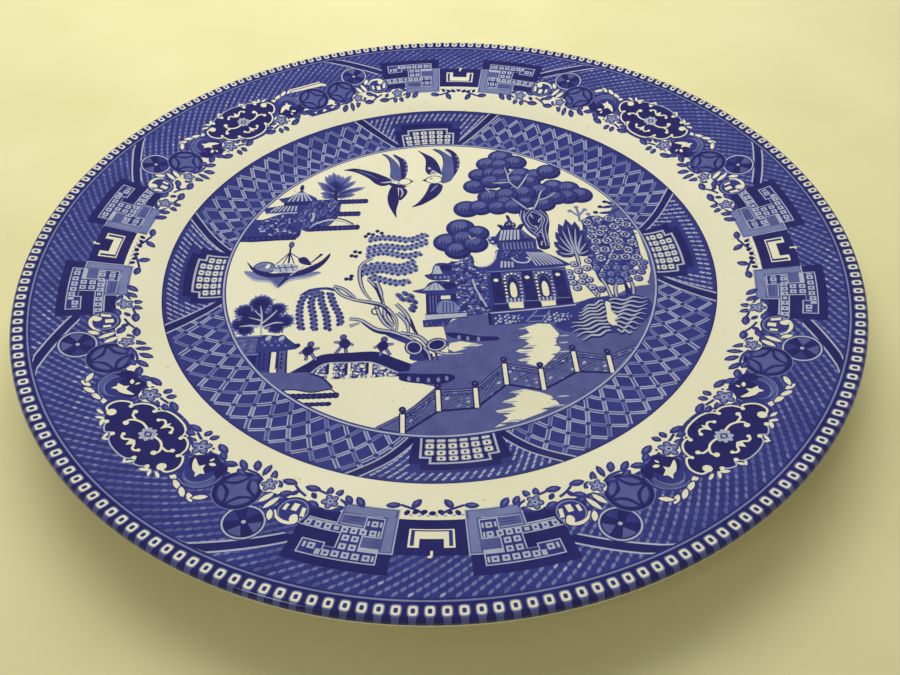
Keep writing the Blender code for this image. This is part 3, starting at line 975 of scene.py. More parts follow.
def boat(sheet):
    """Boat with a cabin, a mast and its mirror image in the water."""
    for tone, drop in ((PALE, 0.0), (SOFT, 0.9)):
        sheet.blob(tone, [(-64.5, -0.5), (-61, -5.5 + drop), (-55.5, -6.8 + drop), (-52.6, -9.8 + drop),
                          (-49, -6.5 + drop), (-43, -5.4 + drop), (-39, -2.6), (-45, -2.2), (-56, -2.5)])
    sheet.blob(MID, [(-57.5, -3.2), (-54.5, -6), (-52.6, -8), (-49, -5), (-44.6, -3.4), (-51, -2)])
    sheet.blob(DEEP, [(-64.4, 4.3), (-62, 1.2), (-59, -1), (-54, -2.4), (-48.5, -2.2), (-43.5, 0.2),
                      (-39.5, 3), (-36.8, 6.8), (-37, 4.2), (-39.6, -0.2), (-44.5, -3.6), (-50, -4.2),
                      (-57, -4), (-61.5, -1.2)])
    sheet.lined(SOFT, BLUE, [(-61.6, 1.2), (-59.5, 3.4), (-56.5, 3.2), (-54.8, 1.2), (-55.5, -1.6),
                             (-59.5, -0.8)], 0.5)
    sheet.line(BLUE, [(-60.6, 0.6), (-58, 1.8), (-55.6, 1)], 0.35)
    sheet.ink(WHITE, leaf(-57, 1.3, 2.6, 1.5, 70))
    sheet.blob(PALE, [(-54, 1.6), (-49, 2.2), (-46.8, 0.6), (-48, -1.6), (-54.5, -1.5)])
    sheet.line(BLUE, [(-54.8, 0.2), (-47, 0.6)], 0.5)
    for x in (-53.6, -51.6, -49.4):
        sheet.line(BLUE, [(x, 1.8), (x + 1.2, -1.6)], 0.35)
    for foot in ((-54.5, 2), (-52.2, 2), (-48.4, 2.2), (-46, 3.8)):
        sheet.line(BLUE, [(-50.4, 8), foot], 0.4, smooth=False)
    sheet.line(DEEP, [(-50.4, 11), (-50.3, 2.5)], 0.7)
    sheet.lined(MID, DEEP, oval(-50.2, 12, 0.75, 1.5, steps=10))
    sheet.blob(DEEP, [(-47.2, 4.6), (-45.2, 5.4), (-43.6, 3.6), (-42.6, 1.2), (-44.8, 1.4), (-46.6, 2.6)])
    sheet.line(DEEP, [(-42.8, 2.2), (-39.4, 6.6)], 1.0, ends=(0.4, 1))
    sheet.line(PALE, [(-49.2, -3.6), (-45, 0.6)], 0.5)
    sheet.line(DEEP, [(-50, -4.5), (-52.6, -9.2)], 1.4, ends=(1, 0.4))


NEAR_LIMBS = (((-55.2, -30), (-55.7, -26), (-56, -22), (-57, -17.5)),
              ((-55.8, -25.5), (-53, -22), (-51.5, -19.6)),
              ((-55.9, -22.5), (-58.6, -19.5)),
              ((-55.7, -26.4), (-59.5, -26), (-62.4, -26.2)),
              ((-55.9, -24), (-60, -22.4)),
              ((-55.4, -27), (-51.8, -25.2), (-49, -25.4)))
NEAR_TREE = ((-57, -16.6, 3.4), (-61.6, -19.6, 2.5), (-62, -25.2, 2.7), (-60.4, -27.6, 2.0),
             (-51.6, -19.4, 2.4), (-48.8, -24.6, 2.5), (-51, -27, 2.2), (-57.2, -22.4, 3.8),
             (-53, -23.6, 3.4), (-59.4, -22.6, 3.0))


def near_island(sheet):
    """Gate house under a feathery tree, on the bank where the bridge starts."""
    for x, y, size in NEAR_TREE:
        feathery_lobe(sheet, x, y, size)
    for x, y, size in NEAR_TREE:
        sheet.ink(DEEP, oval(x, y - 0.1 * size, size * 0.8, steps=12))
    sheet.lines(PALE, NEAR_LIMBS, 0.62, ends=(1, 0.3))
    sheet.ink(BLUE, [(-66, -30.4), (-54, -30.2), (-47.6, -31), (-46.2, -36.5), (-50, -46), (-54.5, -46),
                     (-60.5, -38.4), (-62, -34)])
    sheet.ink(MID, [(-65, -31.4), (-56, -31.4), (-56, -37.4), (-60.4, -37.6)])
    flecks(sheet, ((-63, -31.8), (-56.4, -31.8), (-56.4, -37), (-59.8, -37)), 1.5, 1.6, 0.5,
           (SOFT, BLUE, BLUE), 40)
    sheet.line(SOFT, [(-65.4, -30.6), (-55, -30.6)], 0.6)
    sheet.line(SOFT, [(-59.5, -38), (-55.2, -38)], 0.5)
    sheet.blob(BLUE, [(-54.6, -30.8), (-51, -31.2), (-48.6, -30.4), (-46.6, -32.4), (-44.4, -34.4),
                      (-43.3, -34.2), (-43.6, -36.2), (-46, -36.8), (-52, -36.6), (-55.6, -37)])
    sheet.dots(PALE, ((-52.8, -31.6), (-48.8, -32)), 0.8, 1.2, -30)
    sheet.dots(SOFT, ((-53.5, -34.5), (-51.5, -34.6), (-49.4, -34.8), (-47.3, -35)), 0.4)
    sheet.dots(MID, ((-52.4, -33), (-50.4, -33), (-48.6, -33.4), (-54.4, -33.2)), 0.5, 0.8, 20)
    sheet.ink(DEEP, [(-59, -38.6), (-55.4, -38.6), (-55.2, -45.6), (-56.4, -42.4)])
    sheet.dots(DEEP, ((-43.8, -35.2),), 1.0, 0.9)
    sheet.ink(WHITE, [(-51.2, -37.4), (-49.8, -37.4), (-49.4, -45.8), (-50.9, -45.8)])
    sheet.ink(MID, [(-49.4, -37.2), (-46.6, -37), (-45.8, -45.8), (-48.9, -45.8)])
    for x in (-54.6, -51.6, -49.2, -46.7):
        sheet.line(DEEP, [(x, -37.2), (x + 0.5, -45.8)], 0.5)
    for x in (-53.2, -48):
        sheet.dots(DEEP, [(x + 0.05 * k, -38.5 - 1.7 * k) for k in range(4)], 0.4, 0.6)
    sheet.blob(MID, [(-55.6, -45.6), (-45, -45.8), (-38.5, -46.2), (-34.4, -49), (-32.2, -52.4),
                     (-38, -53.2), (-43, -52), (-47.5, -52)])
    sheet.line(DEEP, [(-39, -46.4), (-35, -48.6), (-32.4, -52)], 0.6)
    sheet.line(DEEP, [(-47.4, -52.2), (-43, -52.2), (-38, -53.4), (-33, -52.6), (-31.4, -54)], 0.4)
    beaded_spit(sheet, [(-47, -54.4), (-38, -54.8), (-30.4, -54.8)], 1.8)
    beaded_spit(sheet, [(-43, -57.6), (-32.6, -57.8)], 1.2)


def traveller(sheet, x, y, lean):
    """Tiny plain figure on the bridge."""
    for side in (-1, 1):
        sheet.edged(SOFT, BLUE, [(x + 0.6 * side, y - 1), (x + 1.5 * side + lean, y - 3.8)], 0.5, 0.3)
        sheet.edged(SOFT, BLUE, [(x + side, y + 0.5), (x + 3 * side, y + 1.4 * lean * side)], 0.8, 0.3,
                    ends=(1, 0.6))
    sheet.lined(MID, BLUE, oval(x + 0.3 * lean, y + 2.6, 0.9, 1.1, steps=10))
    sheet.ink(DEEP, leaf(x - 0.6 * lean, y, 4.6, 3.6, 90 - 20 * lean))


def bridge(sheet):
    """Arched bridge on three stone piers, with three travellers."""
    for x0, x1, top in ((-38.2, -34.6, -44.4), (-32.2, -29.2, -43.6), (-27.2, -23.1, -43.4),
                        (-20.9, -14.4, -44.6)):
        stones = box(x0 - 0.3, -49, x1 + 0.5, top + 1.4)
        sheet.ink(BLUE, stones)
        flecks(sheet, stones, 1.05, 1.15, 0.8, (PALE, SOFT, PALE, WHITE))
    sheet.ink(DEEP, box(-34.6, -47, -33.7, -43), box(-29.2, -47.6, -28.3, -43), box(-23.1, -47.4, -22.2, -43))
    sheet.ink(WHITE, [(-39, -46.6), (-35.2, -46.9), (-34.8, -50), (-32, -53), (-13.5, -52), (-13.5, -48.9),
                      (-20, -48.9), (-34, -48.9)])
    sheet.ink(DEEP, curve([(-45, -45.7), (-40, -42.2), (-36.2, -39.3), (-28, -38.9), (-20, -39),
                           (-15, -41.6), (-9.8, -44.4)])
              + curve([(-10.5, -47), (-14, -47), (-18, -44.6), (-22, -42.8), (-28, -42.6), (-35, -42.7),
                       (-39, -46.3)]))
    sheet.line(PALE, [(-39.2, -46.6), (-35.2, -43), (-28, -42.8), (-22, -43), (-18, -44.9), (-14, -47.3)],
               0.45)
    traveller(sheet, -40, -37.5, 0.7)
    traveller(sheet, -30, -35.2, -0.6)
    traveller(sheet, -18, -36.8, 0.5)


WILLOW_HANGINGS = (((-41.4, -11.4), (-44.2, -15.5), (-44.4, -22), (-43.2, -28.8)),
                   ((-40, -11), (-41.2, -17), (-40, -23), (-39.2, -29.4)),
                   ((-38.6, -11.6), (-37.9, -17), (-36, -23), (-35.2, -29.2)),
                   ((-35.6, -12.5), (-34, -18), (-31.8, -23.4), (-31.4, -27.6)))
WILLOW_BANDS = (((-24, 13), (-20, 13.9), (-15, 13.3), (-9.5, 12), (-3.8, 15)),
                ((-24.5, 8), (-18.5, 9.4), (-10.5, 7.9), (-3.6, 11)),
                ((-24.6, 4.8), (-18.5, 6.2), (-11, 3.6), (-6, 5.2)),
                ((-25.4, -1.6), (-20, 0), (-13, -1.6), (-8, 1)),
                ((-26.4, -4.4), (-19.5, -2.7), (-13, -4.6), (-7.4, -2.4)),
                ((-23, -5.6), (-17.6, -8.2), (-13, -9.6), (-10, -8.2)))
WILLOW_BUDS = ((-24, 16.3), (-25, 15), (-22.5, 15.8), (-21, 17.6), (-19.5, 16.4), (-28.3, 7), (-26.7, 6.5),
               (-29.4, 5), (-28, 4.6), (-29.2, -6.6), (-30.6, -6.5), (-29, -5.2))
WILLOW_LIMBS = (((-22.4, 3.5), (-25.6, 0.6), (-26.4, -3), (-26, -8), (-24.6, -13), (-22.3, -16.8)),
                ((-23.4, -7), (-20.4, -12), (-19, -16.4), (-18.2, -19.6)),
                ((-20.6, -8.8), (-19.4, -13), (-18.8, -17)),
                ((-34.6, -9.6), (-31.4, -11.2), (-28.8, -14), (-27.2, -15.6)),
                ((-34, -11), (-31.4, -14.2), (-27, -16.6), (-22, -18), (-18.6, -19.6), (-16, -22.6),
                 (-14.2, -26.4), (-14.2, -30.8)), ((-20.6, -19.4), (-19.4, -24), (-17.4, -28),
                                                   (-14.6, -30.6)), ((-18, -20), (-17.6, -25), (-15, -29)),
                ((-14.4, -19), (-11.6, -23), (-9.8, -27.6), (-8.4, -32)),
                ((-14, -23), (-11, -27.6), (-10.6, -31.6)), ((-28.6, -28), (-25.6, -26.8)),
                ((-28.8, -24.8), (-25, -25.8), (-20.6, -29.6), (-16, -31), (-12, -33), (-8, -36), (-5, -40),
                 (-4.4, -43)), ((-13, -31.6), (-8.6, -33), (-6.2, -34.8), (-3.4, -39.2), (0.4, -41),
                                (5.4, -41)))
WILLOW_CLEFTS = (((-28, -16.9), (-23, -18.4), (-18.8, -20), (-16.5, -23.5), (-14.8, -28)),
                 ((-25, -26.6), (-20.8, -30.6), (-16, -32.2), (-12, -34)),
                 ((-21.4, -10), (-20, -14), (-18.6, -18.4)),
                 ((-10, -26), (-9, -30), (-7.6, -33)),
                 ((-9.4, -36), (-6.4, -39.4), (-5.6, -43)))


def willow(sheet):
    """Willow in the middle, with trunks that twine and hang over the bridge."""
    for line in WILLOW_HANGINGS:
        leaf_band(sheet, line, 2.5, MID)
    sheet.line(BLUE, [(-45, -13.5), (-42, -11.2), (-37, -10.6), (-34, -11.6)], 1.2, ends=(0.4, 1))
    for line in WILLOW_BANDS:
        leaf_band(sheet, line)
    sheet.dots(DEEP, WILLOW_BUDS, 0.8, 0.9)
    sheet.blob(BLUE, [(-17.4, -32.4), (-14, -31.4), (-11, -33.4), (-7.4, -36.6), (-4.6, -42), (-6.6, -43.4),
                      (-10.4, -42.4), (-9.4, -38), (-12, -36)])
    for line in WILLOW_LIMBS:
        pale_limb(sheet, line)
    sheet.lines(DEEP, WILLOW_CLEFTS, 0.9, ends=(0.3, 0.4))
    for x, y, across, tall in ((-9, -38, 1.9, 2.2), (-2.2, -37.2, 2.4, 1.8)):
        for tone, grow in ((DEEP, 0.95), (PALE, 0.5), (DEEP, 0)):
            sheet.ink(tone, oval(x, y, across + grow, tall + grow, 20))
    sheet.line(DEEP, arc(-20.6, -22, 1.4, 60, 300, 8), 0.55, smooth=False)
    for x, y in ((-13.4, -15.4), (-11.4, -14.6), (-9.6, -15.8), (-12.4, -17), (-10.4, -17.6), (-8.6, -18.4),
                 (-8.8, -20.6), (-9.4, -22)):
        sheet.ink(MID, oval(x, y, 1.6, 1.0, -50, 10))
        sheet.ink(DEEP, oval(x + 0.3, y - 0.4, 0.9, 0.4, -50, 6))
    for x in (-5.4, -4, -2.6):
        sheet.line(DEEP, [(x, -40.6), (x + 0.6, -43.8)], 0.8, ends=(1, 0.2))


FRUIT_LOBES = ((26, 60, 4.3), (31, 56.4, 4), (20.6, 55.8, 3.9), (25.4, 55, 3.6), (16.8, 48.8, 3.6),
               (21.6, 49.8, 3.4), (24.8, 49.4, 3.4), (14.6, 41.6, 3.7), (21, 44.4, 3.8), (26, 43.4, 3.2),
               (32.6, 48.6, 3.6), (38, 47.4, 3.5), (43, 49.4, 4), (35.4, 43.4, 3.4), (30.6, 44.6, 3.4),
               (43.8, 40, 3.6), (49, 38.6, 3.6), (38.6, 37.4, 4), (32, 36.4, 4.4), (20, 34.6, 4.2),
               (26, 35.6, 4), (52.6, 34, 4), (47.8, 33.4, 3.8), (43.4, 33, 3.6), (25, 31.4, 3.2),
               (32.6, 31, 3), (10.8, 28.2, 4.1), (15.8, 28.8, 3.8), (22, 28.4, 3.5), (28, 28.8, 3.8),
               (38.6, 29.6, 3.8))
NEAR_LOBES = ((8, 17.4, 4.3), (13.6, 14.2, 3.6), (3, 10, 4.1), (8.8, 11.8, 3.8), (6.4, 5.6, 3.9),
              (12.4, 8.6, 3.9))
FRUIT_LIMBS = (((33.6, 25), (30.4, 29.6), (27.4, 34)),
               ((33.8, 25), (36.4, 30.4), (38.4, 36.4), (39.6, 37.6)),
               ((36.8, 31.8), (41, 33.6), (43.8, 36.4)),
               ((30.4, 39.4), (27.8, 43.6), (27.4, 48.4), (26.8, 53.4)),
               ((30.4, 39.6), (32.8, 43.6), (35.2, 48.8)),
               ((27.8, 43.6), (24, 43.4), (21.4, 43.6)),
               ((27.5, 48.4), (30.4, 52)),
               ((18.6, 40.6), (19.8, 37.6)))
FRUIT_TRUNKS = (((33.8, 26), (31.4, 22), (32.4, 17.4), (36.6, 13), (36.8, 8)),
                ((34, 26), (37.4, 22.6), (36.4, 17), (33.4, 12.4)),
                ((30.8, 26.2), (30, 21), (31.8, 14.6), (34.4, 11)),
                ((36.2, 26), (38.4, 21), (36.8, 15.4), (37, 6)))


def fruit_tree(sheet):
    """Tall tree of round leaf masses behind the tea house."""
    cloud_lobes(sheet, FRUIT_LOBES)
    for line in FRUIT_LIMBS:
        sheet.edged(PALE, DEEP, line, 0.62, 0.25, ends=(1, 0.4))
    cloud_lobes(sheet, NEAR_LOBES)
    sheet.edged(PALE, DEEP, [(10.6, 13.2), (11.4, 11.4), (12.8, 12.2)], 0.5, 0.35)
    sheet.blob(DEEP, [(30, 26), (29.4, 21), (31, 15), (33.4, 11), (34, 5), (37.6, 5), (38, 12), (39.4, 20),
                      (38, 26)])
    for line in FRUIT_TRUNKS:
        sheet.edged(BLUE, PALE, line, 0.95, 0.26)
    for x, y, turn in ((33.6, 22.6, 20), (35.9, 20.2, -25), (34.6, 16.2, 30), (36.3, 11.4, 10),
                       (35.2, 7.6, -10)):
        sheet.ink(PALE, leaf(x, y, 0.9, 2.6, turn))
        sheet.ink(DEEP, leaf(x + 0.25, y - 0.2, 0.45, 1.5, turn))


TEA_HOUSE_STEPS = (((25.4, -29.2), (29.4, -24.6)), ((26, -29.2), (30.4, -29.2), (33.4, -24.8)),
                   ((27, -27), (31, -27)))


def tea_house(sheet):
    """Large pagoda at the right: two striped roofs, dark columns and arched windows with white panes."""
    sheet.blob(DEEP, [(24.3, 23.6), (25.4, 23.4), (26, 20.4), (27.4, 18.6), (26.6, 16), (23.6, 16),
                      (23.2, 18.8), (24.6, 20.6)])
    flecks(sheet, ((24, 21.6), (26.4, 20.6), (27, 17), (24.2, 17)), 1.1, 1.0, 0.7, (SOFT, PALE, SOFT))
    for x, side in ((25.2, -1), (26, 1)):
        sheet.blob(DEEP, [(x, 15.6), (x + 1.6 * side, 16.6), (x + 2.6 * side, 18.2), (x + 4.4 * side, 18.6),
                          (x + 3.6 * side, 16.6), (x + 2.6 * side, 14.6)])
    sheet.ink(BLUE, [(21.6, 15.8), (28.8, 15.8), (31.8, 11.6), (33.4, 9.8), (33.2, 4.4), (20.4, 4.6),
                     (19.8, 6.6), (17.4, 8.6), (16.6, 12), (19.8, 12.4)])
    ribs(sheet, PALE, [(21.8, 15.4), (28.4, 15.4)], [(20.4, 9.9), (28, 10)], 6, 0.75)
    ribs(sheet, MID, [(28.6, 15.4), (29.4, 15.2)], [(29.6, 10.6), (32, 10.8)], 2, 0.6)
    sheet.line(DEEP, [(19.2, 9.6), (31, 9.8)], 0.7)
    sheet.dots(PALE, ((17.6, 11.4), (18.4, 9.4), (19.2, 7.4)), 0.7, 0.6)
    ribs(sheet, SOFT, [(21.4, 8.6), (32.4, 8.6)], [(21.4, 5), (32.4, 5)], 9, 0.45)
    sheet.blob(BLUE, [(19.2, 5), (26, 4.8), (33, 5), (36, 2.4), (41.4, -2), (41, -4.6), (15, -5.2),
                      (11.4, -3.6), (10.8, -1.2), (13, -3.4), (16.6, -2.6), (19, 1)])
    ribs(sheet, PALE, [(29, 3.4), (35.4, 2.8)], [(31.4, -3.8), (41.2, -3.2)], 8, 0.5)
    ribs(sheet, PALE, [(20.2, -0.6), (24.6, -1.4)], [(19.6, -4), (24.6, -4)], 4, 0.7)
    flecks(sheet, ((20.4, 4.6), (28, 4.4), (28, 1), (21, 0.6)), 1.2, 1.1, 0.6, (SOFT, MID, DEEP))
    sheet.line(PALE, [(24, 0.8), (25.4, -1.2), (27.6, -2), (29.4, -1.6), (30, -0.2), (29, 0.6)], 0.7)
    sheet.line(PALE, [(12.6, -0.6), (11.8, -1.8), (12.8, -3), (15.4, -3), (17.6, -1.2), (18.8, 1.6),
                      (19.4, 4.6)], 0.5)
    sheet.ink(WHITE, oval(12.2, -1.8, 0.8, 0.9))
    sheet.ink(BLUE, [(15, -4.8), (41.2, -4.8), (41.4, -23), (15, -25)])
    for row in range(2):
        sheet.line(SOFT, [(15, -5.9 - 1.3 * row), (28, -5.5 - 1.2 * row), (41.4, -5.1 - 1.1 * row)], 0.4)
    for x in (23.1, 33.3):
        sheet.ink(MID, box(x - 3.2, -20.6, x + 3.2, -6.8))
        arch = [turned_point(x, -10.4, 2.5, 0, turn) for turn in range(0, 181, 30)]
        arch += [(x + 2.45 * side, -12.2 - 1.6 * k) for k in range(5) for side in (-1, 1)]
        for px, py in arch:
            sheet.ink(DEEP, oval(px, py, 0.62, 0.7, 0, 8))
            sheet.ink(WHITE if px < x + 1 else PALE, oval(px + 0.1, py + 0.8, 0.42, 0.48, 0, 8))
        sheet.blob(DEEP, [(x - 1.5, -18.4), (x - 1.6, -11), (x, -8.6), (x + 1.6, -11), (x + 1.5, -18.4)])
        sheet.blob(WHITE, [(x - 0.9, -17.8), (x - 0.95, -13), (x, -11.2), (x + 0.95, -13), (x + 0.9, -17.8)])
        sheet.ink(WHITE, box(x - 2.2, -23.2, x + 2.4, -20.4))
        ribs(sheet, PALE, [(x - 3, -18.6), (x + 3, -18.6)], [(x - 3, -20.6), (x + 3, -20.6)], 5, 0.5)
    for x, foot in ((18.1, -23.6), (28.3, -22.8), (38.4, -22)):
        sheet.ink(DEEP, [(x - 1.8, -6.2), (x + 1.7, -6.2), (x + 2.1, foot + 3), (x - 1.7, foot + 3)],
                  [(x - 2.2, foot + 2.4), (x + 2.4, foot + 2.4), (x + 3, foot + 1.2), (x + 2.9, foot - 0.4),
                   (x - 2.4, foot - 0.4)])
        sheet.ink(SOFT, box(x - 1.7, foot + 2.5, x + 2.1, foot + 2.8))
        sheet.ink(WHITE, oval(x - 0.2, foot + 13.6, 0.8, 0.8))
    sheet.ink(BLUE, [(15, -24.4), (41.6, -22), (41.8, -29.6), (15, -30.2)])
    sheet.line(PALE, [(15, -24.9), (28, -24), (41.8, -22.7)], 0.5)
    for left, right in ((16.2, 24.6), (31.4, 40)):
        stones = ((left, -26.2), (right, -25.4), (right, -29.2), (left, -29.8))
        flecks(sheet, stones, 1.15, 1.1, 0.75, (PALE, SOFT, PALE), 45)
    sheet.lines(SOFT, TEA_HOUSE_STEPS, 0.42, smooth=False)
    sheet.ink(DEEP, box(14, -30, 15, -24.8))


PAVILION_BUSH = ((3, -1), (6, 0), (8.4, 1.4), (9.4, 3.4), (11, 2.6), (11.6, -0.4), (11.4, -3), (15.2, -5.6),
                 (16, -12), (16, -20), (15, -24.6), (4, -24.8), (3, -14))


def garden_pavilion(sheet):
    """Small two-storeyed pavilion beside the willow, with a leafy bush behind it."""
    sheet.blob(BLUE, PAVILION_BUSH)
    flecks(sheet, PAVILION_BUSH, 1.2, 1.35, 0.75, (SOFT, DEEP, MID, PALE, MID))
    sheet.line(PALE, [(10.4, -9), (11, -13), (12.6, -18), (14, -22)], 0.6)
    sheet.ink(BLUE, box(-5, -26, 4.6, -14.8))
    sheet.blob(BLUE, [(-5.2, -6.2), (-3, -5.4), (-2, -1.6), (0, -0.4), (3.6, -1.4), (4, -5.6), (3.6, -8.6),
                      (-2.6, -8.8)])
    sheet.ink(PALE, [(-2.6, -5.8), (-1.6, -1.6), (-0.2, -2), (0.8, -5.8)])
    sheet.ink(DEEP, oval(2, -3, 2.0, 1.6))
    sheet.dots(SOFT, ((-1.6, -7.4), (0, -7.6), (1.4, -7.4), (2.6, -7.6)), 0.45, 0.7)
    sheet.blob(BLUE, [(-9.2, -13.4), (-5.4, -12.4), (-3.6, -9.8), (0, -9.2), (4.4, -10.6), (4.8, -14.8),
                      (-4, -15), (-7, -14.6)])
    sheet.ink(PALE, [(-6, -13.4), (-3.4, -11), (-1.8, -10), (-0.4, -11), (1.4, -13.6)])
    ribs(sheet, SOFT, [(-3.6, -11), (-0.8, -11)], [(-4.8, -13.2), (0.4, -13.4)], 3, 0.4)
    sheet.ink(DEEP, oval(2.8, -11.6, 2.3, 1.6))
    sheet.ink(DEEP, box(-4.8, -24, -1, -15.6), box(3, -19, 4.8, -15.6))
    ribs(sheet, MID, [(-4.2, -16), (-1.2, -16)], [(-4.2, -23.6), (-1.2, -23.6)], 3, 0.5)
    sheet.ink(WHITE, box(-0.2, -17.8, 2.8, -16.2))
    sheet.blob(SOFT, [(-1.4, -24), (-1, -19.6), (1.6, -18.4), (4.4, -20), (4.8, -24)])
    ribs(sheet, BLUE, [(0, -19), (4, -19.4)], [(-0.4, -24), (4.2, -24)], 4, 0.35)
    sheet.ink(PALE, [(-5.4, -24.3), (7.8, -24.3), (7.2, -26), (-5.4, -26.7)])
    sheet.line(DEEP, [(-5.4, -24.3), (8, -24.2)], 0.4)
    sheet.line(DEEP, [(-6.2, -27), (7.4, -26.2)], 0.5)
    sheet.ink(BLUE, [(-6.2, -27), (3, -26.6), (1, -29.8), (-6, -29.8)])
    flecks(sheet, ((-5.6, -27.4), (2, -27.2), (0.4, -29.4), (-5.6, -29.4)), 1.2, 1.0, 0.5, (MID, SOFT, DEEP))


GARDEN_SHORE = [(58.6, 18.6), (58, 12), (66.8, 11), (67.2, 4), (67, -6), (66.4, -14.4)]
FROND_TIPS = ((39.6, 3), (39.8, 7.6), (41, 12.4), (42.6, 16.6), (45.2, 18.8), (48, 17.4), (49.8, 13),
              (50.8, 8), (51, 3.6))
THICKET = ((50.4, -1), (50.2, 12), (51, 18.4), (54, 21.6), (58.6, 20.4), (62.4, 17.8), (66, 17), (67.6, 12),
           (67.6, 4), (66.4, -3), (60, -4.6), (55, -3))
LOW_THICKET = ((50, 1), (50.6, -8), (51.6, -13), (56, -14.6), (60, -13.4), (62.6, -8), (64.4, -3))
GARDEN_LIMBS = (((53.6, -20.6), (53, -15), (52.2, -9), (56.4, -2), (58.4, 4), (57, 12)),
                ((58.2, 2), (61, 6.6), (63, 12)),
                ((50.4, -22), (49, -18.6), (47, -14), (46, -9), (46.2, -2)),
                ((49.4, -19.4), (51, -15)),
                ((55.4, -22), (55.4, -17), (56.6, -13)),
                ((60.6, -20), (61.4, -15), (60.4, -10)))
FRUITS = ((42, -7.6), (45.2, -7.2), (44.4, -3.8), (48.2, -6), (49.4, -2.4), (51.4, -6.2), (54.8, -6),
          (58, -6.4), (61, -6.6), (64, -4.4), (67.4, -4.2), (65.6, -8.8), (62.8, -8.6), (64, -11.8),
          (42.6, -12.6), (45.6, -12.4), (43.6, -15.2), (48, -11.6), (48.4, -15.2), (51, -16.4), (55, -12.6),
          (57.8, -13), (59.8, -9.8), (52.6, -9.6), (46.4, -9.8), (42.2, -10), (55.6, -9.2), (66.6, -6.4),
          (60.6, -12))


def rosette(sheet, x, y, turn):
    """Round flower: a ring of soft petals round a dark heart."""
    sheet.discs(x, y, 12, (BLUE, 2.1))
    for k in range(6):
        petal = turned_point(x, y, 1.15, 0, 60 * k + turn)
        sheet.ink(SOFT if k % 3 == 0 else PALE, oval(*petal, 0.64, 0.68, 60 * k + turn, 8))
    sheet.ink(DEEP, oval(x, y, 1.0, steps=10))
    sheet.ink(PALE, oval(x, y, 0.4, steps=6))


def garden(sheet):
    """Trees, a thicket in flower and the bank's end at the right, with a small house behind them."""
    sheet.ink(MID, round_edge(-13, 24, 12) + GARDEN_SHORE)
    sheet.ink(WHITE, [(66, 12.8), (69, 12.4), (69.2, 8), (69.4, 0), (68.8, -8), (67, -13), (62, -15.8),
                      (58, -10), (62, 0), (66, 6)])
    sheet.ink(BLUE, [(58, 20.2), (67.6, 19.8), (68.6, 14), (68.6, 10.8), (62, 10.4), (58.6, 14)])
    for y in (19.4, 16.4, 14.4):
        sheet.line(PALE, [(60.6, y), (68, y - 0.2)], 0.5)
    sheet.ink(WHITE, box(65.4, 11.2, 68.6, 12.8))
    for x, y, turn, length in ((61.4, 26.4, 10, 5.6), (60.4, 23, 2, 6.4), (62.4, 28.6, -40, 3.4),
                               (64, 24.4, 30, 4.4)):
        sheet.ink(BLUE, leaf(x, y, length, 1.7, turn))
    sheet.dots(DEEP, ((60.8, 29.4), (58.6, 26.6), (56.4, 23.4)), 1.0, 0.9)
    for x in (61.2, 62.8):
        sheet.line(BLUE, [(x, 24), (x + 0.2, 19.6)], 0.6)
    sheet.lines(SOFT, (((50, 18.6), (50.2, 23.4), (50, 26)), ((50.1, 21.6), (48, 24.4)),
                       ((50.2, 22), (52.4, 24.8))), 0.9)
    sheet.dots(SOFT, ((50, 26.8), (47.4, 24.8), (52.8, 25.2), (53.6, 22.6)), 0.9)
    for outline in (THICKET, LOW_THICKET):
        sheet.blob(BLUE, outline)
        flecks(sheet, outline, 1.7, 1.7, 0.9, (MID, SOFT, DEEP, PALE, MID))
    for line in GARDEN_LIMBS:
        pale_limb(sheet, line, 0.7)
    sheet.ink(DEEP, [(58.4, -19.6), (58.8, -13.4), (59.6, -13), (60.4, -19.4)])
    for k in range(24):
        rosette(sheet, 52.4 + 3.9 * (k % 4) + 1.6 * (k // 4 % 2) + 0.5 * scatter(k),
                19 - 3.9 * (k // 4) + scatter(k + 9), 37 * k)
    for tone, share, width in ((BLUE, 1.08, 4.4), (DEEP, 1.0, 2.6), (MID, 0.96, 0.9)):
        for x, y in FROND_TIPS:
            tip = (46 + share * (x - 46), -1 + share * (y + 1))
            sheet.ink(tone, blade((46 + 0.1 * (x - 46), 0.1 * y), tip, width))
    for x, y in FROND_TIPS:
        sheet.line(PALE, [(46, -2), (46.2 + (x - 46) * 0.12, 1.6), ((x + 46) / 2 - 0.3, (y - 1) / 2 + 0.4),
                          (x * 0.85 + 6.9, y * 0.85 - 0.3)], 0.5, ends=(1, 0.3))
    sheet.edged(PALE, DEEP, [(46, -4), (46, 0), (45.6, 4)], 0.7, 0.4, ends=(1, 0.4))
    for x, y in FRUITS:
        sheet.ink(BLUE, oval(x, y, 1.6, steps=12))
        sheet.ink(PALE if x < 50 else SOFT, oval(x - 0.1, y + 0.15, 1.1, steps=10))
        sheet.ink(BLUE, oval(x + 0.1, y, 0.5, steps=8))


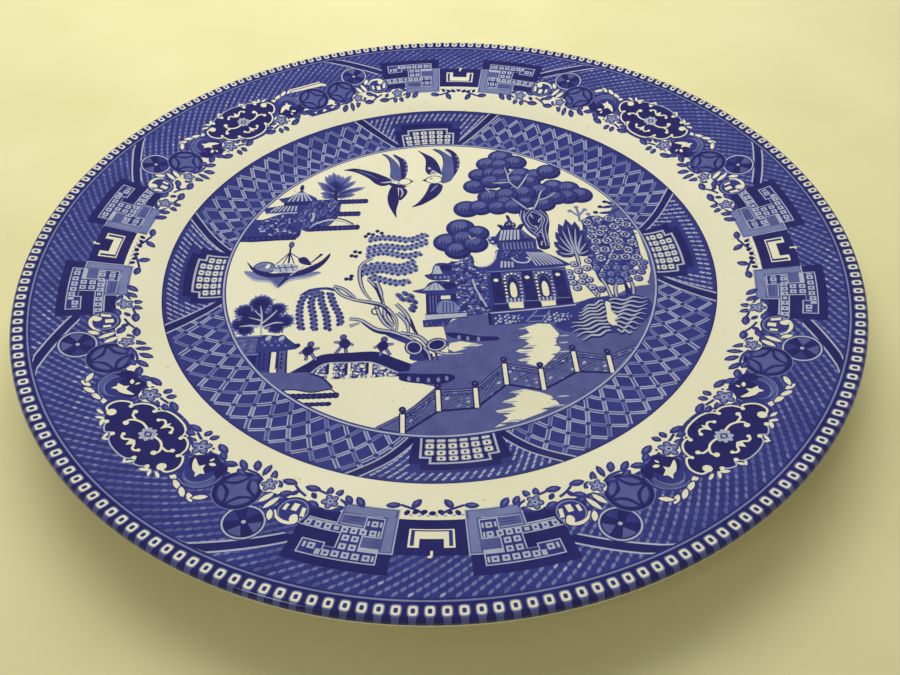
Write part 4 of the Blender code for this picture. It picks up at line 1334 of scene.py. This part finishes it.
def striped_bank(sheet):
    """Terraced bank below the trees: dark and pale waves either side of a white path."""
    sheet.blob(BLUE, [(34, -31), (38, -26), (43, -22), (48, -19.8), (55, -20), (60, -18.8), (65, -21.4),
                      (65.4, -26), (61, -31.6), (55, -35), (48, -35.6), (42, -35), (36.6, -33.8)])
    for row in range(9):
        y = -21.4 - 1.62 * row
        left, right = 43.4 - 1.3 * row + 0.016 * row ** 3, 64.6 - 0.12 * row * row
        for tone, drop, width in ((DEEP, 0.7, 1.0), (PALE, 0.0, 0.72)):
            waves = [(50.6 - (50.6 - left) * k / 12,
                      y - drop - 0.26 * k + 0.42 * math.sin(0.95 * k + 0.8 * row)) for k in range(13)]
            sheet.line(tone, waves, width, ends=(0.8, 0.2))
            waves = [(52.6 + (right - 52.6) * k / 12,
                      y - drop - 0.022 * row * k + 0.08 * k + 0.5 * math.sin(k + row)) for k in range(13)]
            sheet.line(tone, waves, width, ends=(0.8, 0.2))
    sheet.blob(WHITE, [(51.2, -22), (52.6, -22.6), (52.4, -26), (53.8, -28.6), (52.6, -30), (53, -32),
                       (51.4, -32.2), (50.4, -30), (50.8, -26.4)])


LAWN_SHORE = [(61, -15.6), (56, -18.6), (48, -20), (41, -22), (28, -23.4), (15, -25), (7, -25.4),
              (3, -27.4), (0, -30), (0.6, -33.4), (1.2, -41.2), (-5, -42), (-9.4, -44), (-13.8, -47),
              (-13.6, -49.6), (-8, -51.6), (-3, -53.4), (-12.5, -63)]
INLETS = (((24.6, -31.6), (29, -30.2), (32.6, -30.6), (34.8, -35), (33.2, -38.2), (34.4, -41), (31.4, -44.6),
           (28, -48), (24.2, -46.4), (21.2, -44.6), (25.2, -43.6), (21, -41.2), (25.4, -38.4), (22.6, -35.4),
           (26, -34)),
          ((18.6, -56.2), (22, -55.6), (26.4, -57), (29, -58.4), (31, -61.4), (26, -64), (18.4, -67),
           (12.4, -68.4), (16.4, -65.4), (13, -62.8), (19, -61.6), (15.4, -59.6), (19.4, -58.2)),
          ((1.8, -36.8), (5, -36.2), (11.6, -38), (6, -39.4), (2.8, -40.4), (1, -39)))
RIPPLES = ((22.6, -36.8, 3), (23, -33, 2), (21.8, -42.4, 3), (24.4, -40.2, 2.4), (22.4, -45.6, 2),
           (35, -36.6, 2), (34.4, -39.4, 2), (33.6, -43, 2.4), (31.6, -46, 2), (31, -59.6, 2.4),
           (28.6, -62.8, 3), (15.6, -60.8, 3), (14, -64, 3.4), (18, -57.4, 2.6), (16.6, -67.2, 3),
           (7.6, -38.8, 2.4))
POSTS = ((-12.5, -69.2, -62.6), (-2.5, -62, -54.6), (8.1, -61.4, -54.4), (17.1, -53.6, -45.8),
         (27.4, -56.2, -48.4), (37.8, -50, -42.2), (47.8, -51, -44.4))


def lawn(sheet):
    """Land at the lower right, its banks and its white inlets with ragged edges."""
    sheet.ink(MID, round_edge(-106.5, -12, 40) + LAWN_SHORE)
    for outline in INLETS:
        sheet.ink(WHITE, outline)
    for x, y, reach in RIPPLES:
        sheet.ink(MID, leaf(x, y, reach * 2, 0.9, 2))
        sheet.ink(PALE, leaf(x + 0.6 * reach, y + 0.9, reach * 1.6, 0.6, 2))
    sheet.blob(DEEP, [(-13.8, -47.8), (-13, -50.4), (-8, -51.8), (-1, -52.4), (2.6, -50.6), (1, -48.8),
                      (-6, -48.4)], [(0.4, -32.6), (3, -34.8), (8, -36.4), (15.8, -36.4), (16, -35),
                                     (10.6, -34.4), (5, -32.8)])
    for x, y in ((-10.6, -50), (-8, -50.4), (-5, -50.8), (-2.2, -50.8), (0.2, -50.4), (4.6, -34.6),
                 (7.2, -35.2), (10.4, -35.6)):
        sheet.ink(SOFT, oval(x, y, 0.55, 0.95, 0, 8))


def fence(sheet):
    """Zigzag fence across the lawn: white posts with ball tops, rails and crossed braces."""
    feet = ((-19.6, -67),) + POSTS + ((57.4, -47.6, -40.6),)
    tops = [(p[0], p[-1] + (-0.4 if len(p) == 3 else 0)) for p in feet]
    bottoms = [(p[0], p[1]) for p in feet]
    for k in range(len(feet) - 1):
        a, b, c, d = tops[k], tops[k + 1], bottoms[k + 1], bottoms[k]
        sheet.ink(MID, [a, d, c, b] if k else [a, c, b])
        if k:
            flecks(sheet, (a, b, c, d), 2.2, 2.0, 0.9, (PALE, SOFT, MID), 30)
            sheet.edged(SOFT, DEEP, [a, c], 0.3, 0.26)
            sheet.edged(SOFT, DEEP, [d, b], 0.3, 0.26)
            sheet.line(BLUE, [(a[0], a[1] - 1.6), (b[0], b[1] - 1.6)], 0.45)
        sheet.line(DEEP, [d, c], 0.75)
        sheet.edged(SOFT, DEEP, [a, b], 0.35, 0.38)
    for x, low, high in POSTS:
        sheet.ink(DEEP, box(x - 0.95, low - 0.2, x + 1.05, high + 0.5))
        sheet.ink(WHITE, box(x - 0.55, low, x + 0.6, high))
        sheet.ink(DEEP, box(x - 0.4, high, x + 0.4, high + 1), oval(x, high + 1.6, 1.05, 1.1, steps=12))
        sheet.ink(MID, oval(x, high + 1.7, 0.4, steps=6))


def centre_scene():
    """The landscape, its parts laid down from the far ones to the near ones."""
    sheet = Sheet()
    sheet.ink(BLUE, ring(SCENE_EDGE + 0.3))
    sheet.ink(WHITE, ring(SCENE_EDGE - 0.3))
    for part in (lawn, birds, far_island, boat, bridge, near_island, garden, striped_bank, garden_pavilion,
                 fruit_tree, tea_house, willow, fence):
        part(sheet)
    return sheet.shapes


# ---- From flat shapes to inked sheets on the face ----
def signed_area(points):
    x, y = points[:, 0], points[:, 1]
    return 0.5 * np.sum(x * np.roll(y, -1) - np.roll(x, -1) * y)


SMALLEST_COVER_AREA = 8.0
LARGEST_COVER_SPAN = 40.0
SMALLEST_TRIANGLE_AREA = 1e-7
CUT_TOLERANCE = 1e-5


def uncovered(shapes):
    """The shapes, without the ones that a later and larger shape hides altogether."""
    outlines = [np.array(points) for _, points in shapes]
    low = np.array([outline.min(0) for outline in outlines])
    high = np.array([outline.max(0) for outline in outlines])
    kept = np.ones(len(shapes), bool)
    for k, outline in enumerate(outlines):
        if abs(signed_area(outline)) < SMALLEST_COVER_AREA or max(high[k] - low[k]) > LARGEST_COVER_SPAN:
            continue
        near = np.nonzero(kept[:k] & np.all(low[:k] >= low[k], 1) & np.all(high[:k] <= high[k], 1))[0]
        if len(near) == 0:
            continue
        sizes = [len(outlines[i]) for i in near]
        hits = inside(np.concatenate([outlines[i] for i in near]), outline)
        hidden = np.logical_and.reduceat(hits, np.cumsum([0] + sizes[:-1]))
        kept[near[hidden]] = False
    return [shape for shape, keep in zip(shapes, kept) if keep]


def follow_rings(radii, steps):
    """Circles that cut the triangles small where the face is curved."""
    points, edges = [], []
    for radius in radii:
        first = len(points)
        points += ring(radius, steps)
        edges += [(first + k, first + (k + 1) % steps) for k in range(steps)]
    return points, edges


def cut_up(shapes, radii, steps):
    """Cuts all the shapes along each other's edges; gives points, triangles and each triangle's tone."""
    points, edges = follow_rings(radii, steps)
    faces = []
    for _, outline in shapes:
        outline = np.array(outline)
        if signed_area(outline) < 0:
            outline = outline[::-1]
        first = len(points)
        points += outline.tolist()
        faces.append(list(range(first, len(points))))
    result = delaunay_2d_cdt([Vector(p) for p in points], edges, faces, 0, CUT_TOLERANCE, True)
    points = np.array([tuple(p) for p in result[0]])
    triangles = np.array(result[2])
    top = np.array([max(ids) if ids else -1 for ids in result[5]])
    tones = np.array([tone for tone, _ in shapes] + [WHITE])
    return points, triangles, tones[top]


def printed(name, shapes, limits, radii, steps):
    """The inked sheets of one zone of the print, one object per tone, laid on the glazed face.

    The zone's limits are its inner and outer radius; what its shapes draw past them is left out.
    """
    circles = [radius for radius in (*limits, *radii) if radius > 0]
    points, triangles, tones = cut_up(uncovered(shapes), circles, steps)
    corners = points[triangles]
    a, b = corners[:, 1] - corners[:, 0], corners[:, 2] - corners[:, 0]
    area = 0.5 * (a[:, 0] * b[:, 1] - a[:, 1] * b[:, 0])
    middle = np.hypot(*corners.mean(1).T)
    laid = (area > SMALLEST_TRIANGLE_AREA) & (middle > limits[0]) & (middle < limits[1])
    radius = np.hypot(points[:, 0], points[:, 1])
    laid_radius, height, normal_radius, normal_height = face_point(radius, PRINT_DEPTH)
    out = points / np.maximum(radius, 1e-9)[:, None]
    places = np.concatenate([out * laid_radius[:, None], height[:, None]], 1) * MM
    normals = np.concatenate([out * normal_radius[:, None], normal_height[:, None]], 1)
    sheets = []
    for tone in (DEEP, BLUE, MID, SOFT, PALE):
        chosen = triangles[laid & (tones == tone)]
        if len(chosen) == 0:
            continue
        used, corners = np.unique(chosen, return_inverse=True)
        mesh = bpy.data.meshes.new(f"{name}_{tone}")
        mesh.from_pydata(places[used].tolist(), [], corners.reshape(-1, 3).tolist())
        mesh.shade_smooth()
        mesh.normals_split_custom_set_from_vertices(normals[used].tolist())
        piece = bpy.data.objects.new(f"{name}_{tone}", mesh)
        bpy.context.scene.collection.objects.link(piece)
        sheets.append((tone, piece))
    return sheets


# ---- Materials ----
class Looks:
    """A node material, with short ways to add and join nodes."""

    def __init__(self, name):
        self.material = bpy.data.materials.new(name)
        self.material.use_nodes = True
        self.tree = self.material.node_tree
        self.shader = self.tree.nodes["Principled BSDF"]
        self.place = self.add("ShaderNodeTexCoord").outputs["Object"]

    def add(self, kind, **settings):
        node = self.tree.nodes.new(kind)
        for key, value in settings.items():
            setattr(node, key, value)
        return node

    def join(self, source, target):
        self.tree.links.new(source, target)

    def noise(self, scale, detail=3.0, roughness=0.5):
        node = self.add("ShaderNodeTexNoise")
        self.join(self.place, node.inputs["Vector"])
        node.inputs["Scale"].default_value = scale
        node.inputs["Detail"].default_value = detail
        node.inputs["Roughness"].default_value = roughness
        return node.outputs["Fac"]

    def stretch(self, value, low, high, to_low, to_high):
        node = self.add("ShaderNodeMapRange", clamp=True)
        self.join(value, node.inputs["Value"])
        for name, number in (("From Min", low), ("From Max", high), ("To Min", to_low), ("To Max", to_high)):
            node.inputs[name].default_value = number
        return node.outputs["Result"]

    def mix(self, share, first, second):
        node = self.add("ShaderNodeMix", data_type="RGBA")
        self.join(share, node.inputs["Factor"])
        for socket, colour in ((node.inputs[6], first), (node.inputs[7], second)):
            if isinstance(colour, tuple):
                socket.default_value = (*colour, 1.0)
            else:
                self.join(colour, socket)
        return node.outputs[2]

    def bumps(self, *layers):
        """Bumps from (height value, distance in metres) layers, laid one on the other."""
        normal = None
        for value, distance in layers:
            bump = self.add("ShaderNodeBump")
            bump.inputs["Distance"].default_value = distance
            self.join(value, bump.inputs["Height"])
            if normal:
                self.join(normal, bump.inputs["Normal"])
            normal = bump.outputs["Normal"]
        self.join(normal, self.shader.inputs["Normal"])


def srgb(red, green, blue):
    """A colour given as 0 to 255 values, in the linear light that the shader works in."""
    def linear(value):
        value = value / 255
        return value / 12.92 if value <= 0.04045 else ((value + 0.055) / 1.055) ** 2.4
    return (linear(red), linear(green), linear(blue))


def glossy(looks):
    """The fired glaze's gloss: smooth, with a faint orange peel and slow waves from brush and kiln."""
    peel = looks.noise(900, 2.0)
    waves = looks.noise(60, 2.0)
    looks.bumps((waves, WAVE_HEIGHT), (peel, PEEL_HEIGHT))
    looks.join(looks.stretch(looks.noise(45, 4.0), 0.3, 0.7, *GLAZE_ROUGHNESS),
               looks.shader.inputs["Roughness"])
    looks.shader.inputs["IOR"].default_value = GLAZE_IOR


def glaze_material(name):
    """Cream glaze with warm clouds and a few specks."""
    looks = Looks(name)
    cloud = looks.mix(looks.stretch(looks.noise(22, 3.0), 0.35, 0.65, 0, 1), GLAZE_WHITE, GLAZE_WARM)
    specks = looks.stretch(looks.noise(700, 1.0), 0.74, 0.80, 0, 1)
    looks.join(looks.mix(specks, cloud, GLAZE_SPECK), looks.shader.inputs["Base Color"])
    glossy(looks)
    return looks.material


def ink_material(tone):
    """Cobalt print under the glaze: mottled where the colour has flowed, with a fine grain of dots."""
    looks = Looks(f"cobalt print, {tone}")
    dark, light = INK_COLOURS[tone]
    flow = looks.stretch(looks.noise(160, 4.0, 0.6), 0.32, 0.68, 0, 1)
    grain = looks.stretch(looks.noise(2600, 2.0), 0.40, 0.72, 0, 0.6)
    mottled = looks.mix(flow, dark, light)
    looks.join(looks.mix(grain, mottled, light), looks.shader.inputs["Base Color"])
    glossy(looks)
    return looks.material


def clay_material():
    looks = Looks("fired clay")
    body = looks.mix(looks.stretch(looks.noise(90, 5.0), 0.3, 0.7, 0, 1), CLAY_LIGHT, CLAY_DARK)
    grog = looks.stretch(looks.noise(1800, 2.0), 0.62, 0.70, 0, 1)
    looks.join(looks.mix(grog, body, CLAY_GRAIN), looks.shader.inputs["Base Color"])
    looks.join(looks.stretch(looks.noise(300, 3.0), 0.3, 0.7, *CLAY_ROUGHNESS),
               looks.shader.inputs["Roughness"])
    looks.bumps((looks.noise(2200, 3.0), CLAY_BUMP_HEIGHT))
    return looks.material


# Heights of bumps are in metres, and each roughness is a range.
WAVE_HEIGHT = 0.00002
PEEL_HEIGHT = 0.0000012
CLAY_BUMP_HEIGHT = 0.00004
GLAZE_ROUGHNESS = (0.08, 0.13)
CLAY_ROUGHNESS = (0.75, 0.95)
GLAZE_IOR = 1.52
GLAZE_WHITE = srgb(238, 235, 222)
GLAZE_WARM = srgb(232, 228, 210)
GLAZE_SPECK = srgb(196, 188, 168)
CLAY_LIGHT = srgb(214, 202, 176)
CLAY_DARK = srgb(196, 180, 150)
CLAY_GRAIN = srgb(150, 132, 104)
INK_COLOURS = {
    DEEP: (srgb(18, 17, 98), srgb(30, 29, 116)),
    BLUE: (srgb(36, 41, 128), srgb(48, 55, 146)),
    MID: (srgb(70, 77, 150), srgb(90, 97, 168)),
    SOFT: (srgb(108, 117, 180), srgb(124, 133, 192)),
    PALE: (srgb(164, 170, 208), srgb(184, 189, 220)),
}


# ---- Floor, light and camera ----
FLOOR_COLOUR = srgb(236, 231, 192)
FLOOR_SHADE = srgb(228, 222, 180)
SENSOR_WIDTH = 36.0
LENS = 29.44
CAMERA_PLACE = (-0.0030, -0.1856, 0.1675)
CAMERA_TURN = (43.1, 0.74, -2.64)
NEAREST_SEEN = 0.005
TABLE_SIZE = 6.0
TABLE_ROUGHNESS = 0.45
TABLE_BUMP_HEIGHT = 0.00005
ROOM_COLOUR = (1.0, 0.95, 0.68)
ROOM_STRENGTH = 0.31
KEY_COLOUR = (1.0, 1.0, 0.84)
GLINT_COLOUR = (1.0, 1.0, 0.95)


def floor():
    """Wide pale table top, slightly uneven in colour."""
    bpy.ops.mesh.primitive_plane_add(size=TABLE_SIZE, location=(0, 0, 0))
    table = bpy.context.object
    table.name = "table"
    looks = Looks("pale table top")
    looks.join(looks.mix(looks.stretch(looks.noise(14, 4.0), 0.3, 0.7, 0, 1), FLOOR_COLOUR, FLOOR_SHADE),
               looks.shader.inputs["Base Color"])
    looks.shader.inputs["Roughness"].default_value = TABLE_ROUGHNESS
    looks.bumps((looks.noise(350, 3.0), TABLE_BUMP_HEIGHT))
    table.data.materials.append(looks.material)


def lamp(name, place, size, power, colour, mirrored):
    """A square soft light that faces down; one that is not mirrored leaves no glint on the glaze."""
    light = bpy.data.lights.new(name, "AREA")
    light.size = size
    light.energy = power
    light.color = colour
    lamp_object = bpy.data.objects.new(name, light)
    lamp_object.location = place
    lamp_object.visible_glossy = mirrored
    bpy.context.scene.collection.objects.link(lamp_object)


def surroundings(colour, strength):
    """Even light from all sides."""
    world = bpy.data.worlds.new("soft room light")
    world.use_nodes = True
    background = world.node_tree.nodes["Background"]
    background.inputs["Color"].default_value = (*colour, 1.0)
    background.inputs["Strength"].default_value = strength
    bpy.context.scene.world = world


def camera():
    """Camera at the photo's viewing angle."""
    lens = bpy.data.cameras.new("camera")
    lens.sensor_width = SENSOR_WIDTH
    lens.lens = LENS
    lens.clip_start = NEAREST_SEEN
    holder = bpy.data.objects.new("camera", lens)
    holder.location = CAMERA_PLACE
    holder.rotation_euler = [math.radians(angle) for angle in CAMERA_TURN]
    bpy.context.scene.collection.objects.link(holder)
    bpy.context.scene.camera = holder


# ---- The plate ----
def dress(piece, material, node):
    """Gives a piece its material and its place in the frame."""
    piece.data.materials.append(material)
    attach(piece, "root")
    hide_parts(node)


def make_plate():
    """The three turned solids and the three printed zones."""
    glaze = glaze_material("clear glaze over white clay")
    patch_glaze = glaze_material("glaze in the foot well")
    dress(turned("fired_clay", clay_section(), HIDDEN_SEGMENTS), clay_material(), "clay_body")
    dress(turned("glaze", glaze_section(), GLAZE_SEGMENTS), glaze, "glaze_coat")
    dress(turned("foot_well_patch", foot_well_section(), HIDDEN_SEGMENTS), patch_glaze, "foot_well_glaze")
    inks = {tone: ink_material(tone) for tone in INK_COLOURS}
    lip_radii = PLATE_RADIUS - LIP_SPREAD * (1 - np.cos(np.radians(np.arange(104, 8, -6))))
    cavetto_radii = np.arange(71.5, 88, 1.0)
    rim_limits = (RIM_INNER_EDGE, RIM_OUTER_EDGE)
    well_limits = (SCENE_EDGE, WELL_OUTER_EDGE)
    for name, shapes, limits, radii, steps, node in (
            ("rim_print", rim_border(), rim_limits, lip_radii, 720, "rim_border"),
            ("well_print", well_border(), well_limits, cavetto_radii, 360, "well_border"),
            ("scene_print", centre_scene(), (0.0, SCENE_EDGE), [], 360, "centre_scene")):
        for tone, piece in printed(name, shapes, limits, radii, steps):
            dress(piece, inks[tone], node + "_transfer")


bpy.context.scene.view_settings.view_transform = "Standard"
make_plate()
floor()
surroundings(ROOM_COLOUR, ROOM_STRENGTH)
lamp("key", (-0.05, 0.38, 0.56), size=0.6, power=4.3, colour=KEY_COLOUR, mirrored=False)
lamp("glint", (-0.48, -0.49, 0.72), size=0.16, power=0.7, colour=GLINT_COLOUR, mirrored=True)
camera()
